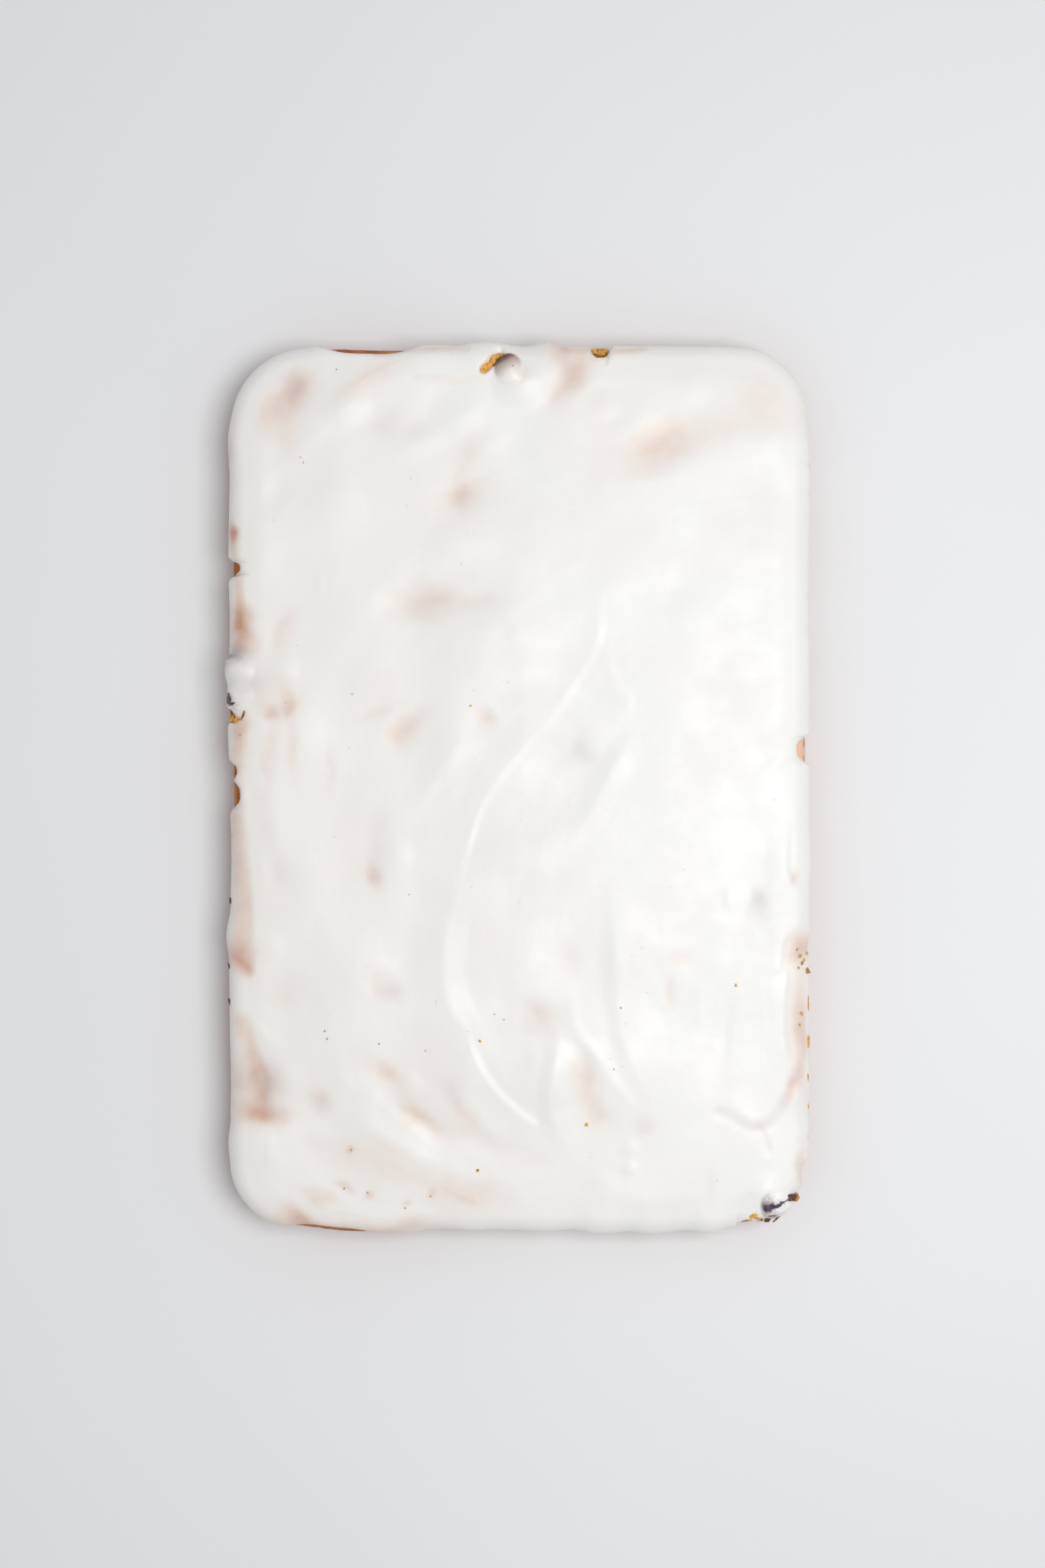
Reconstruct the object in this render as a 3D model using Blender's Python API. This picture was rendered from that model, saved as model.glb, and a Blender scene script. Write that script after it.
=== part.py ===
"""Berry sheet cake: an oblong slab baked in a shallow tin, spread with white icing.

Metres, +Z up. The origin is the centre of the underside, the long side runs along Y.

The slab's skin is described on one unrolled sheet. A place (x, y) on the level top is
itself. A place past the level top's outline is carried over the rounded shoulder and
down the side, as far as it lies from that outline.
"""

import math
import random

import bmesh
import bpy
from mathutils import Vector, noise
from mathutils.geometry import delaunay_2d_cdt

MM = 0.001

# The baked slab.
CAKE_WIDTH = 241.4 * MM
CAKE_LENGTH = 369.4 * MM
CAKE_HEIGHT = 27.0 * MM
CORNER_RADIUS = 27.0 * MM
SHOULDER_RADIUS = 6.0 * MM
WALL_LEAN = math.radians(5.0)
BASE_ROUNDING = 2.0 * MM
CRUST_ROUGHNESS = 0.7 * MM
ROUGH_SCALE = 9.0 * MM

# The slab's outline as it wanders from the tin's own.
WANDER = 0.7 * MM
WANDER_SCALE = 42.0 * MM
WANDER_DEPTH = 14.0 * MM

# The icing.
TOP_DEPTH = 3.6 * MM
SIDE_DEPTH = 1.5 * MM
LEAST_DEPTH = 0.9 * MM
SLOW_SWELL = 1.3 * MM
SLOW_SCALE = 46.0 * MM
RIPPLE = 0.9 * MM
RIPPLE_SCALE = 25.0 * MM
BEAD_WIDTH = 2.2 * MM
SUNK_DEPTH = 0.8 * MM
USUAL_REACH = 11.0 * MM
LEAST_REACH = 1.6 * MM
REACH_SWAY = 2.6 * MM
REACH_SCALE = 17.0 * MM
DRIP_COUNT = 26
DRIP_SEED = 7
GAP = 0.3 * MM

# How finely the skins are divided.
CAKE_POINTS_ROUND = 120
CRUST_ROWS = 3
ICING_POINTS_ROUND = 250
EDGE_TRACE_POINTS = 1500
EDGE_SPACING = 3.1 * MM
INTERIOR_SPACING = 9.2 * MM
STROKE_SPACING = 6.5 * MM
BERRY_SEGMENTS = 14
BERRY_RINGS = 9

FULL_TURN = math.pi / 2 + WALL_LEAN
SHOULDER_LENGTH = SHOULDER_RADIUS * FULL_TURN
TOP_HALF_WIDTH = CAKE_WIDTH / 2 - SHOULDER_RADIUS
TOP_HALF_LENGTH = CAKE_LENGTH / 2 - SHOULDER_RADIUS
TOP_CORNER = CORNER_RADIUS - SHOULDER_RADIUS

# Where the slab's side stands in (-) or out (+) from the tin's outline:
# place on the level top's outline, radius, amount. Millimetres.
OUTLINE_CHANGES = (
    (104, -170, 26, -2.6),
    (-106, 174, 30, -3.2),
    (-115, 146, 18, 1.2),
    (112, 164, 32, -1.6),
    (-66, -179, 30, 2.4),
    (56, -179, 22, 1.0),
)

# Where the icing stops short of its usual reach (-) or runs further down (+):
# place on the level top's outline, half width along it, change in reach. Millimetres.
EDGE_CHANGES = (
    (-64, 180, 28, -8.0),
    (34, 180, 5, -8.0),
    (26, 180, 17, -3.5),
    (-13, 180, 13, 6.0),
    (-116, 92, 4.8, -8.9),
    (-116, 30, 4, -6.5),
    (-116, 7, 5, -7.5),
    (-116, -3, 8, -8.5),
    (-116, -62, 13, 5.0),
    (116, 16, 7.5, -9.6),
    (116, -70, 9, -4.0),
    (-79, -180, 27, -7.5),
    (22, -180, 24, 4.0),
    (95, -177, 5, -7.0),
    (113, -160, 5, -6.0),
)

# Where the icing is thick on the shoulder: place on the level top's outline, half width
# along it, extra depth. Millimetres.
EDGE_BULGES = (
    (-13, 180, 14, 1.9),
    (12, 180, 9, 1.8),
    (-83, 180, 9, 0.5),
    (-116, 48, 9, 0.9),
    (-116, -62, 11, 1.3),
    (-113, -150, 10, 0.9),
    (10, -180, 14, 0.8),
    (34, -180, 13, 2.0),
    (56, -180, 8, 0.8),
    (79, -180, 10, 1.6),
    (-45, -180, 12, 0.8),
    (-20, -180, 9, 0.5),
    (116, -30, 12, 0.5),
    (116, -130, 10, 0.5),
)

# Lines left by the spatula: height, width on the left and on the right of the line's
# direction, then the line's points. Millimetres.
STROKES = (
    (0.55, 2.6, 12, ((34, 78), (33, 60), (24, 45), (12, 28), (0, 15), (-15, -6), (-23, -28), (-28, -45))),
    (1.1, 8, 15, ((-26, -44), (-31, -60), (-32, -78), (-29, -92), (-22, -103))),
    (0.7, 3.5, 10, ((-24, -98), (-18, -115), (-10, -127), (2, -138), (17, -147))),
    (0.5, 6, 9, ((-24, 20), (-34, 6), (-44, -10))),
    (0.5, 8, 6, ((47, 22), (38, 6), (31, -8), (24, -20))),
    (0.45, 3, 7, ((22, -85), (24, -97), (34, -114), (45, -127), (53, -133))),
    (0.8, 10, 6, ((16, -104), (15, -116), (13, -128), (14, -140), (20, -149))),
    (0.6, 16, 6, ((39, -44), (40, -62), (41, -92), (46, -112), (54, -129))),
    (0.8, 3, 12, ((112, -20), (111, -28), (114, -42), (112, -64), (109, -76), (109, -105), (112, -125))),
    (0.7, 3, 10, ((112, -122), (107, -139), (100, -140), (85, -135))),
    (0.8, 8, 11, ((-18, 185), (-42, 180), (-61, 173), (-74, 163), (-85, 153))),
    (0.5, 9, 14, ((-73, -137), (-45, -160), (0, -181))),
)

# Rounded swellings in the icing (+) and patches where it lies thin (-):
# centre, radius, height. Millimetres.
MOUNDS = (
    (104, -48, 10, 0.6),
    (46, -155, 7, 0.6),
    (35, -168, 9, 0.4),
    (105, -173, 14, 1.4),
    (0, 170, 13, 2.2),
    (12, -120, 17, 1.1),
    (-112, -149, 11, 0.9),
    (58, -75, 22, 0.3),
    (-118, 48, 9, 1.0),
    (71, 73, 13, 0.5),
    (-20, 62, 16, 0.5),
    (-88, -34, 16, 0.5),
    (-80, 120, 20, 0.4),
    (-115, -122, 18, -1.3),
    (-97, 163, 13, -0.7),
    (21, 173, 12, -0.7),
    (61, 148, 16, -0.6),
    (-38, 78, 14, -0.5),
    (-50, 22, 9, -0.4),
    (-102, 33, 9, -0.5),
    (-111, -130, 11, -0.5),
    (117, -90, 14, -0.5),
    (28, -124, 8, -0.5),
)

# Berries that break the surface: centre and radius. Millimetres.
BERRIES = {
    "berry_top": (-4.6, 174.9, 27.4, 6.8),
    "berry_left_upper": (-117.0, 50.6, 23.6, 6.4),
    "berry_left_lower": (-117.0, 37.4, 23.6, 6.0),
    "berry_corner": (105.6, -173.4, 24.6, 7.2),
}

# The split in the icing beside the top berry: centre, half sizes, turn about Z.
SPLIT_CENTRE = (-13.2 * MM, 177.2 * MM, 30.2 * MM)
SPLIT_HALF_SIZES = (5.2 * MM, 1.5 * MM, 3.4 * MM)
SPLIT_TURN = math.radians(48.0)


def smooth_step(low, high, value):
    """0 up to low, 1 from high on, with a smooth rise between."""
    part = min(max((value - low) / (high - low), 0.0), 1.0)
    return part * part * (3.0 - 2.0 * part)


def swell(share):
    """A rounded hill: 1 at 0, falling to nothing at 1."""
    return (1.0 - share * share) ** 2 if share < 1.0 else 0.0


def plateau(share):
    """A flat-topped hill: 1 at 0, falling to nothing at 1."""
    return (1.0 - share ** 4) ** 2 if share < 1.0 else 0.0


def slow_noise(x, y, scale, layer):
    return noise.noise(Vector((x / scale, y / scale, layer)))


def nearest_outline(x, y):
    """Nearest point of the level top's outline, the way out there, and how far out (x, y) is."""
    over_x = abs(x) - (TOP_HALF_WIDTH - TOP_CORNER)
    over_y = abs(y) - (TOP_HALF_LENGTH - TOP_CORNER)
    if over_x > 0 and over_y > 0:
        away = math.hypot(over_x, over_y)
        out = Vector((over_x / away, over_y / away))
    elif over_x > over_y:
        away = over_x
        out = Vector((1.0, 0.0))
    else:
        away = over_y
        out = Vector((0.0, 1.0))
    out = Vector((math.copysign(out.x, x), math.copysign(out.y, y)))
    beyond = away - TOP_CORNER
    return Vector((x, y)) - out * beyond, out, beyond


def walk_outline(count):
    """Evenly spaced points of the level top's outline, each with the way out there."""
    straight_x = 2 * (TOP_HALF_WIDTH - TOP_CORNER)
    straight_y = 2 * (TOP_HALF_LENGTH - TOP_CORNER)
    arc = TOP_CORNER * math.pi / 2
    runs = (straight_y, arc, straight_x, arc, straight_y, arc, straight_x, arc)
    step = sum(runs) / count
    points = []
    for index in range(count):
        left = (index + 0.5) * step
        run = 0
        while left > runs[run]:
            left -= runs[run]
            run += 1
        quarter = run // 2
        turned = quarter * math.pi / 2
        if run % 2:
            turned += left / TOP_CORNER
        out = Vector((math.cos(turned), math.sin(turned)))
        corner = Vector((
            (straight_x / 2) * (1 if quarter in (0, 3) else -1),
            (straight_y / 2) * (1 if quarter in (0, 1) else -1),
        ))
        place = corner + out * TOP_CORNER
        if run % 2 == 0:
            along = Vector((-math.sin(turned), math.cos(turned)))
            place -= along * (runs[run] - left)
        points.append((place, out))
    return points


def outline_wander(foot):
    """How far the slab's side stands out from the tin's outline at one place."""
    stands_out = WANDER * slow_noise(foot.x, foot.y, WANDER_SCALE, 0.5)
    for x, y, radius, amount in OUTLINE_CHANGES:
        share = (foot - Vector((x * MM, y * MM))).length / (radius * MM)
        stands_out += amount * MM * swell(share)
    return stands_out


def on_cake(x, y, lift=0.0):
    """Point a given height off the slab's skin, for a place on the unrolled sheet."""
    foot, out, beyond = nearest_outline(x, y)
    turn = min(max(beyond, 0.0) / SHOULDER_RADIUS, FULL_TURN)
    down_wall = max(beyond - SHOULDER_LENGTH, 0.0)
    side = min(beyond, 0.0) + SHOULDER_RADIUS * math.sin(turn) + down_wall * math.cos(FULL_TURN)
    drop = SHOULDER_RADIUS * (1.0 - math.cos(turn)) + down_wall * math.sin(FULL_TURN)
    side += outline_wander(foot) * smooth_step(-WANDER_DEPTH, 0.0, beyond)
    place = foot + out * (side + lift * math.sin(turn))
    return Vector((place.x, place.y, CAKE_HEIGHT - drop + lift * math.cos(turn)))


def make_drips():
    """Places on the outline where icing ran down the side, with half width and extra reach."""
    draw = random.Random(DRIP_SEED)
    outline = walk_outline(EDGE_TRACE_POINTS)
    drips = []
    for index in range(DRIP_COUNT):
        share = (index + draw.uniform(0.1, 0.9)) / DRIP_COUNT
        foot = outline[int(share * EDGE_TRACE_POINTS)][0]
        drips.append((foot, draw.uniform(5.0, 9.0) * MM, draw.uniform(1.0, 8.5) * MM))
    return drips


def icing_reach(foot, drips):
    """How far past the level top's outline the icing runs, at one point of that outline."""
    change = 0.0
    for x, y, half_width, amount in EDGE_CHANGES:
        share = (foot - Vector((x * MM, y * MM))).length / (half_width * MM)
        change += amount * MM * plateau(share)
    still_free = smooth_step(-3.0 * MM, 0.0, change)
    for place, half_width, amount in drips:
        change += still_free * amount * plateau((foot - place).length / half_width)
    sway = REACH_SWAY * slow_noise(foot.x, foot.y, REACH_SCALE, 3.5) * still_free
    return max(USUAL_REACH + sway + change, LEAST_REACH)


def smooth_line(points, spacing):
    """Points along a smooth curve through the given ones, each with the way to its left."""
    knots = [Vector((x * MM, y * MM)) for x, y in points]
    knots = [2 * knots[0] - knots[1]] + knots + [2 * knots[-1] - knots[-2]]
    line = []
    for before, start, end, after in zip(knots, knots[1:], knots[2:], knots[3:]):
        steps = max(round((end - start).length / spacing), 1)
        for step in range(steps):
            t = step / steps
            line.append(0.5 * (
                2 * start
                + (end - before) * t
                + (2 * before - 5 * start + 4 * end - after) * t * t
                + (3 * start - before - 3 * end + after) * t ** 3
            ))
    line.append(knots[-2])
    ways = [(b - a).normalized() for a, b in zip(line, line[1:])]
    ways.append(ways[-1])
    return [(place, Vector((-way.y, way.x))) for place, way in zip(line, ways)]


def stroke_lift(place, stroke, line):
    """Height that one spatula line adds at a place: steep or gentle by side, fading at its ends."""
    height, left_width, right_width, _ = stroke
    nearest = min(range(len(line)), key=lambda index: (line[index][0] - place).length_squared)
    point, left = line[nearest]
    offset = place - point
    across = offset.dot(left)
    along = offset.dot(Vector((left.y, -left.x)))
    width = (left_width if across > 0 else right_width) * MM
    share = math.hypot(across, along * 0.5) / width
    from_end = min(nearest, len(line) - 1 - nearest) / (len(line) - 1)
    return height * MM * swell(share) * (0.35 + 0.65 * smooth_step(0.0, 0.3, from_end))


def icing_depth(x, y, lines, drips):
    """Depth of the icing at a place on the unrolled sheet, rounded off at its edge."""
    foot, out, beyond = nearest_outline(x, y)
    place = Vector((x, y))
    relief = SLOW_SWELL * slow_noise(x, y, SLOW_SCALE, 8.5)
    relief += RIPPLE * slow_noise(x, y, RIPPLE_SCALE, 11.5)
    for stroke, line in zip(STROKES, lines):
        relief += stroke_lift(place, stroke, line)
    for mound_x, mound_y, radius, height in MOUNDS:
        share = (place - Vector((mound_x * MM, mound_y * MM))).length / (radius * MM)
        relief += height * MM * swell(share)
    side = SIDE_DEPTH
    for bulge_x, bulge_y, half_width, extra in EDGE_BULGES:
        share = (foot - Vector((bulge_x * MM, bulge_y * MM))).length / (half_width * MM)
        side += extra * MM * swell(share)
    over_edge = smooth_step(-9.0 * MM, SHOULDER_LENGTH, beyond)
    depth = TOP_DEPTH + (side - TOP_DEPTH) * over_edge + relief * (1.0 - 0.6 * over_edge)
    depth = max(depth, LEAST_DEPTH)
    from_edge = icing_reach(foot, drips) - beyond
    if from_edge < 3 * BEAD_WIDTH:
        along = Vector((-out.y, out.x)) * BEAD_WIDTH
        slope = icing_reach(foot + along, drips) - icing_reach(foot - along, drips)
        from_edge /= math.hypot(1.0, slope / (2 * BEAD_WIDTH))
    inward = min(max(from_edge / BEAD_WIDTH, 0.0), 1.0)
    return depth * math.sqrt(1.0 - (1.0 - inward) ** 2)


def make_material(name, colour, roughness):
    material = bpy.data.materials.new(name)
    material.use_nodes = True
    material.diffuse_color = (*colour, 1.0)
    shader = material.node_tree.nodes["Principled BSDF"]
    shader.inputs["Base Color"].default_value = (*colour, 1.0)
    shader.inputs["Roughness"].default_value = roughness
    shader.inputs["Metallic"].default_value = 0.0
    return material


def make_object(name, mesh_build, material):
    """Closed mesh with its faces outward, as an object in the scene."""
    bmesh.ops.recalc_face_normals(mesh_build, faces=mesh_build.faces)
    mesh = bpy.data.meshes.new(name)
    mesh_build.to_mesh(mesh)
    mesh_build.free()
    mesh.materials.append(material)
    mesh.shade_smooth()
    mesh.set_sharp_from_angle(angle=math.radians(40.0))
    solid = bpy.data.objects.new(name, mesh)
    bpy.context.collection.objects.link(solid)
    return solid


def crust_row_depths():
    """Distances past the level top's outline of the slab's rows, down to the base rounding."""
    shoulder = [SHOULDER_LENGTH * share for share in (0.0, 1 / 3, 2 / 3, 1.0)]
    drop_left = CAKE_HEIGHT - SHOULDER_RADIUS * (1.0 - math.cos(FULL_TURN)) - BASE_ROUNDING
    wall = drop_left / math.sin(FULL_TURN)
    return shoulder + [SHOULDER_LENGTH + wall * (row + 1) / CRUST_ROWS for row in range(CRUST_ROWS)]


def build_slab(lift):
    """Level top, rounded shoulder, leaning rough crust and flat base, a given height off the skin."""
    build = bmesh.new()
    outline = walk_outline(CAKE_POINTS_ROUND)
    rings = []
    for row, beyond in enumerate(crust_row_depths()):
        on_wall = smooth_step(0.6 * SHOULDER_LENGTH, 1.4 * SHOULDER_LENGTH, beyond)
        ring = []
        for foot, out in outline:
            rough = abs(noise.noise(Vector((foot.x / ROUGH_SCALE, foot.y / ROUGH_SCALE, row * 0.8))))
            height = lift - CRUST_ROUGHNESS * on_wall * rough
            ring.append(build.verts.new(on_cake(*(foot + out * beyond), height)))
        rings.append(ring)
    base = []
    for vertex, (_, out) in zip(rings[-1], outline):
        inward = out * BASE_ROUNDING * 0.8
        base.append(build.verts.new((vertex.co.x - inward.x, vertex.co.y - inward.y, -lift)))
    rings.append(base)
    for upper, lower in zip(rings, rings[1:]):
        for index in range(CAKE_POINTS_ROUND):
            after = (index + 1) % CAKE_POINTS_ROUND
            build.faces.new((upper[index], lower[index], lower[after], upper[after]))
    build.faces.new(rings[0])
    build.faces.new(reversed(rings[-1]))
    return build


def trace_edge(drips):
    """The icing's edge on the unrolled sheet, as evenly spaced points of a closed loop."""
    trace = [foot + out * icing_reach(foot, drips) for foot, out in walk_outline(EDGE_TRACE_POINTS)]
    trace.append(trace[0])
    length = sum((b - a).length for a, b in zip(trace, trace[1:]))
    step = length / round(length / EDGE_SPACING)
    edge = []
    walked = 0.0
    for start, end in zip(trace, trace[1:]):
        walked += (end - start).length
        if walked >= step:
            walked -= step
            edge.append(end)
    return edge


def inset_loop(loop, inset):
    """Points a given distance inward of a loop that runs anticlockwise."""
    points = []
    for before, place, after in zip(loop[-1:] + loop, loop, loop[1:] + loop[:1]):
        way = (after - before).normalized()
        points.append(place + Vector((-way.y, way.x)) * inset)
    return points


def level_loop(beyond, margin, drips):
    """Points a fixed way past the level top's outline, where the icing runs further by a margin."""
    points = []
    for foot, out in walk_outline(ICING_POINTS_ROUND):
        if beyond < icing_reach(foot, drips) - margin:
            points.append(foot + out * beyond)
    return points


def spread_places():
    """Evenly spread places in staggered rows over the level top."""
    row_height = INTERIOR_SPACING * math.sqrt(3) / 2
    places = []
    for row in range(round(2 * TOP_HALF_LENGTH / row_height) + 1):
        first_x = -TOP_HALF_WIDTH + (row % 2) * INTERIOR_SPACING / 2
        for column in range(round(2 * TOP_HALF_WIDTH / INTERIOR_SPACING) + 1):
            x = first_x + column * INTERIOR_SPACING
            places.append(Vector((x, -TOP_HALF_LENGTH + row * row_height)))
    return places


def stroke_places(lines):
    """Places along each spatula line's crest and along both its flanks."""
    places = []
    for (_, left_width, right_width, _), line in zip(STROKES, lines):
        for place, left in line:
            for across in (-0.55 * right_width, 0.0, 0.55 * left_width):
                places.append(place + left * across * MM)
    return places


def well_apart(candidates, fixed, distance):
    """The candidates that lie at least a distance from the fixed places and from each other."""
    kept = []
    taken = list(fixed)
    for place in candidates:
        if all((place - other).length_squared > distance ** 2 for other in taken):
            kept.append(place)
            taken.append(place)
    return kept


def icing_top_places(edge, lines, drips):
    """Where the icing's outer face has its points, on the unrolled sheet, edge loop first."""
    places = list(edge)
    for inset in (1.0 * MM, 3.0 * MM):
        places += well_apart(inset_loop(edge, inset), places, 0.93 * inset)
    for beyond in (4.5 * MM, 0.5 * MM):
        places += well_apart(level_loop(beyond, 4.0 * MM, drips), places, 2.2 * MM)
    inner = [
        place for place in stroke_places(lines) + spread_places()
        if nearest_outline(*place)[2] < -4.0 * MM
    ]
    return places + well_apart(inner, places, 0.45 * INTERIOR_SPACING)


def triangulate(places, edge_count):
    """Triangles between places, inside the closed loop that the first edge_count of them make."""
    loop = [(index, (index + 1) % edge_count) for index in range(edge_count)]
    result = delaunay_2d_cdt(places, loop, [], 1, 1e-7)
    return [[result[3][vertex][0] for vertex in face] for face in result[2]]


def make_icing(material):
    """The icing: spread relief above, its underside sunk in the slab until it is cut clear."""
    build = bmesh.new()
    drips = make_drips()
    lines = [smooth_line(stroke[3], STROKE_SPACING) for stroke in STROKES]
    edge_places = trace_edge(drips)
    edge_count = len(edge_places)
    top_places = icing_top_places(edge_places, lines, drips)
    edge = [build.verts.new(on_cake(x, y, -SUNK_DEPTH)) for x, y in edge_places]
    top = list(edge)
    for x, y in top_places[edge_count:]:
        top.append(build.verts.new(on_cake(x, y, GAP + icing_depth(x, y, lines, drips))))
    for triangle in triangulate(top_places, edge_count):
        build.faces.new([top[index] for index in triangle])
    sunk = []
    for vertex in edge:
        sunk.append(build.verts.new((0.9 * vertex.co.x, 0.9 * vertex.co.y, CAKE_HEIGHT / 2)))
    for index in range(edge_count):
        after = (index + 1) % edge_count
        build.faces.new((edge[index], sunk[index], sunk[after], edge[after]))
    build.faces.new(reversed(sunk))
    return make_object("icing", build, material)


def make_ball(name, centre, radius, material):
    build = bmesh.new()
    bmesh.ops.create_uvsphere(build, u_segments=BERRY_SEGMENTS, v_segments=BERRY_RINGS, radius=radius)
    ball = make_object(name, build, material)
    ball.location = centre
    return ball


def cut_out(solid, cutter):
    cut = solid.modifiers.new(cutter.name, "BOOLEAN")
    cut.operation = "DIFFERENCE"
    cut.object = cutter
    cut.solver = "EXACT"


def as_cutter(solid):
    solid.hide_render = True
    solid.display_type = "WIRE"
    return solid


def make_berries(cake, icing):
    """Each berry in a socket that clears it all round, cut from slab and icing alike."""
    skin = make_material("berry_skin", (0.05, 0.02, 0.06), 0.4)
    for name, (x, y, z, radius) in BERRIES.items():
        centre = Vector((x, y, z)) * MM
        make_ball(name, centre, radius * MM, skin)
        socket = as_cutter(make_ball(name + "_socket", centre, radius * MM + GAP, skin))
        cut_out(cake, socket)
        cut_out(icing, socket)


def make_split(icing, material):
    """The split beside the top berry, where the slab shows through the icing."""
    split = make_ball("split_cutter", SPLIT_CENTRE, 1.0, material)
    for vertex in split.data.vertices:
        vertex.co = [size * part for size, part in zip(SPLIT_HALF_SIZES, vertex.co)]
    split.rotation_euler.z = SPLIT_TURN
    cut_out(icing, as_cutter(split))


def main():
    for leftover in list(bpy.data.objects):
        bpy.data.objects.remove(leftover)
    crust = make_material("baked_crust", (0.42, 0.18, 0.05), 0.7)
    white = make_material("white_icing", (0.90, 0.88, 0.84), 0.35)
    cake = make_object("cake", build_slab(0.0), crust)
    icing = make_icing(white)
    cut_out(icing, as_cutter(make_object("slab_clearance", build_slab(GAP), crust)))
    make_berries(cake, icing)
    make_split(icing, white)


main()
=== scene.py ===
"""Looks of a berry sheet cake: fine icing, crust, berries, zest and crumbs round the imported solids.

Metres, +Z up, in the solids' own frame. Lists of places are in millimetres.

As in the solids, the slab's skin is described on one unrolled sheet. A place (x, y) on the
level top is itself. A place past the level top's outline is carried over the rounded
shoulder and down the side, as far as it lies from that outline.
"""

import math
import random

import bmesh
import bpy
import numpy as np
from mathutils import Matrix, Vector, noise


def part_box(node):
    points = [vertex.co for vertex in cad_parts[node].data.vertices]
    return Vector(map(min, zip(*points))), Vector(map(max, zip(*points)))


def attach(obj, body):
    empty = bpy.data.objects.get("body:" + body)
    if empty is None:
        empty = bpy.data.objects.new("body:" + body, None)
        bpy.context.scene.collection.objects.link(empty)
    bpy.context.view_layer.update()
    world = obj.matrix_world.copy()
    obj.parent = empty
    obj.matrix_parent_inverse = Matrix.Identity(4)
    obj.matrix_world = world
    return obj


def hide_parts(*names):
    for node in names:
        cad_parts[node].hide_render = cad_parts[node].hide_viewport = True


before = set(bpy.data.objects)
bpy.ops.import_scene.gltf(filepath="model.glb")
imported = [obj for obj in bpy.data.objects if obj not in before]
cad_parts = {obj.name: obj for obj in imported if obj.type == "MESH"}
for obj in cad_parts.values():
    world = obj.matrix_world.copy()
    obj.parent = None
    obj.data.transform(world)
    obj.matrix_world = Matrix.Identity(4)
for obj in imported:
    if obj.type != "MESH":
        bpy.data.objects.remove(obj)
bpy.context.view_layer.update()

MM = 0.001

# The slab, as the solids have it.
CAKE_WIDTH = 241.4 * MM
CAKE_LENGTH = 369.4 * MM
CAKE_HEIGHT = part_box("cake")[1].z
CORNER_RADIUS = 27.0 * MM
SHOULDER_RADIUS = 6.0 * MM
WALL_LEAN = math.radians(5.0)
BASE_ROUNDING = 2.0 * MM
WANDER = 0.7 * MM
WANDER_SCALE = 42.0 * MM
WANDER_DEPTH = 14.0 * MM
FULL_TURN = math.pi / 2 + WALL_LEAN
SHOULDER_LENGTH = SHOULDER_RADIUS * FULL_TURN
TOP_HALF = np.array((CAKE_WIDTH, CAKE_LENGTH)) / 2 - SHOULDER_RADIUS
TOP_CORNER = CORNER_RADIUS - SHOULDER_RADIUS

# The crust: how finely it is divided, then depth and scale of each layer of its relief.
CRUST_POINTS_ROUND = 1100
CRUST_ROWS = 34
CRUST_RELIEF = ((0.35, 3.2), (0.2, 1.5))

# The berries' skin: how finely it is divided, then its wrinkles as a share of the radius.
BERRY_SEGMENTS = 64
BERRY_RINGS = 40
BERRY_WRINKLE = 0.03
BERRY_WRINKLE_SCALE = 2.5 * MM

# The icing's depth, and its reach past the level top's outline. Its relief is calmer over
# the side, and it doesn't drip where its reach is cut short by DRIPLESS_CUT or more.
TOP_DEPTH = 3.6 * MM
SIDE_DEPTH = 1.5 * MM
LEAST_DEPTH = 0.9 * MM
SPLIT_DEPTH = 0.6 * MM
GAP = 0.3 * MM
BEAD_WIDTH = 2.4 * MM
SIDE_START = -9.0 * MM
SIDE_CALM = 0.6
USUAL_REACH = 11.0 * MM
LEAST_REACH = 1.6 * MM
REACH_SWAY = 2.6 * MM
REACH_SCALE = 17.0 * MM
REACH_BAND = 20.0 * MM
SLOPE_STEP = 1.0 * MM
DRIP_COUNT = 26
DRIP_SEED = 7
DRIP_HALF_WIDTHS = (5.0, 9.0)
DRIP_RUNS = (1.0, 8.5)
DRIPLESS_CUT = -3.0 * MM
EDGE_TRACE_POINTS = 1500

# The icing's waves: slow ones, then height and scale of each layer of ripples, their share
# on the left and on the right, and the two x between which it changes.
SLOW_SWELL = 1.3 * MM
SLOW_SCALE = 46.0 * MM
RIPPLES = ((0.90, 25.0), (0.15, 13.0), (0.02, 6.0))
RIPPLE_SHARES = (1.1, 0.35)
RIPPLE_CHANGE = (-20.0 * MM, 90.0 * MM)

# Streaks swept round one point: height, and scale across and along, of each layer.
SWEEP_CENTRE = np.array((95.0, -55.0)) * MM
SWEEP_STREAKS = ((0.07, 7.0, 45.0), (0.02, 2.8, 30.0))

# Spatula lines: how sharp a ridge is, its share of height at both ends, and the part of
# its length over which it rises. A place far from a line counts as OFF_LINE widths away.
CREST_POWER = 1.2
STROKE_END = 0.3
STROKE_RISE = 0.3
LINE_SPACING = 1.2 * MM
OFF_LINE = 9.0

# How finely the icing is divided: cell size over most of it, and finer bands of columns
# and rows, each from a place to a place.
USUAL_CELL = 1.5
EDGE_BAND = 6.0
EDGE_CELL = 0.55
FINE_COLUMNS = ((-127, -107, 0.5), (-22, 8, 0.5), (94, 127, 0.6))
FINE_ROWS = ((-188, -164, 0.45), (27, 62, 0.55), (166, 188, 0.45))

# Thin places: the share of their loss that is taken off, wider than the place by
# 1 / THIN_SPREAD, how crumb shows through icing of no depth and how depth hides it, and
# how sharply a thin place and a sunk berry end outwards.
THIN_LOSS = 0.6
THIN_SPREAD = 0.6
THIN_SHOW = 0.45
THIN_FADE = 0.45 * MM
CRUMB_FALL = 1.1
BERRY_FALL = 1.3

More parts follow.
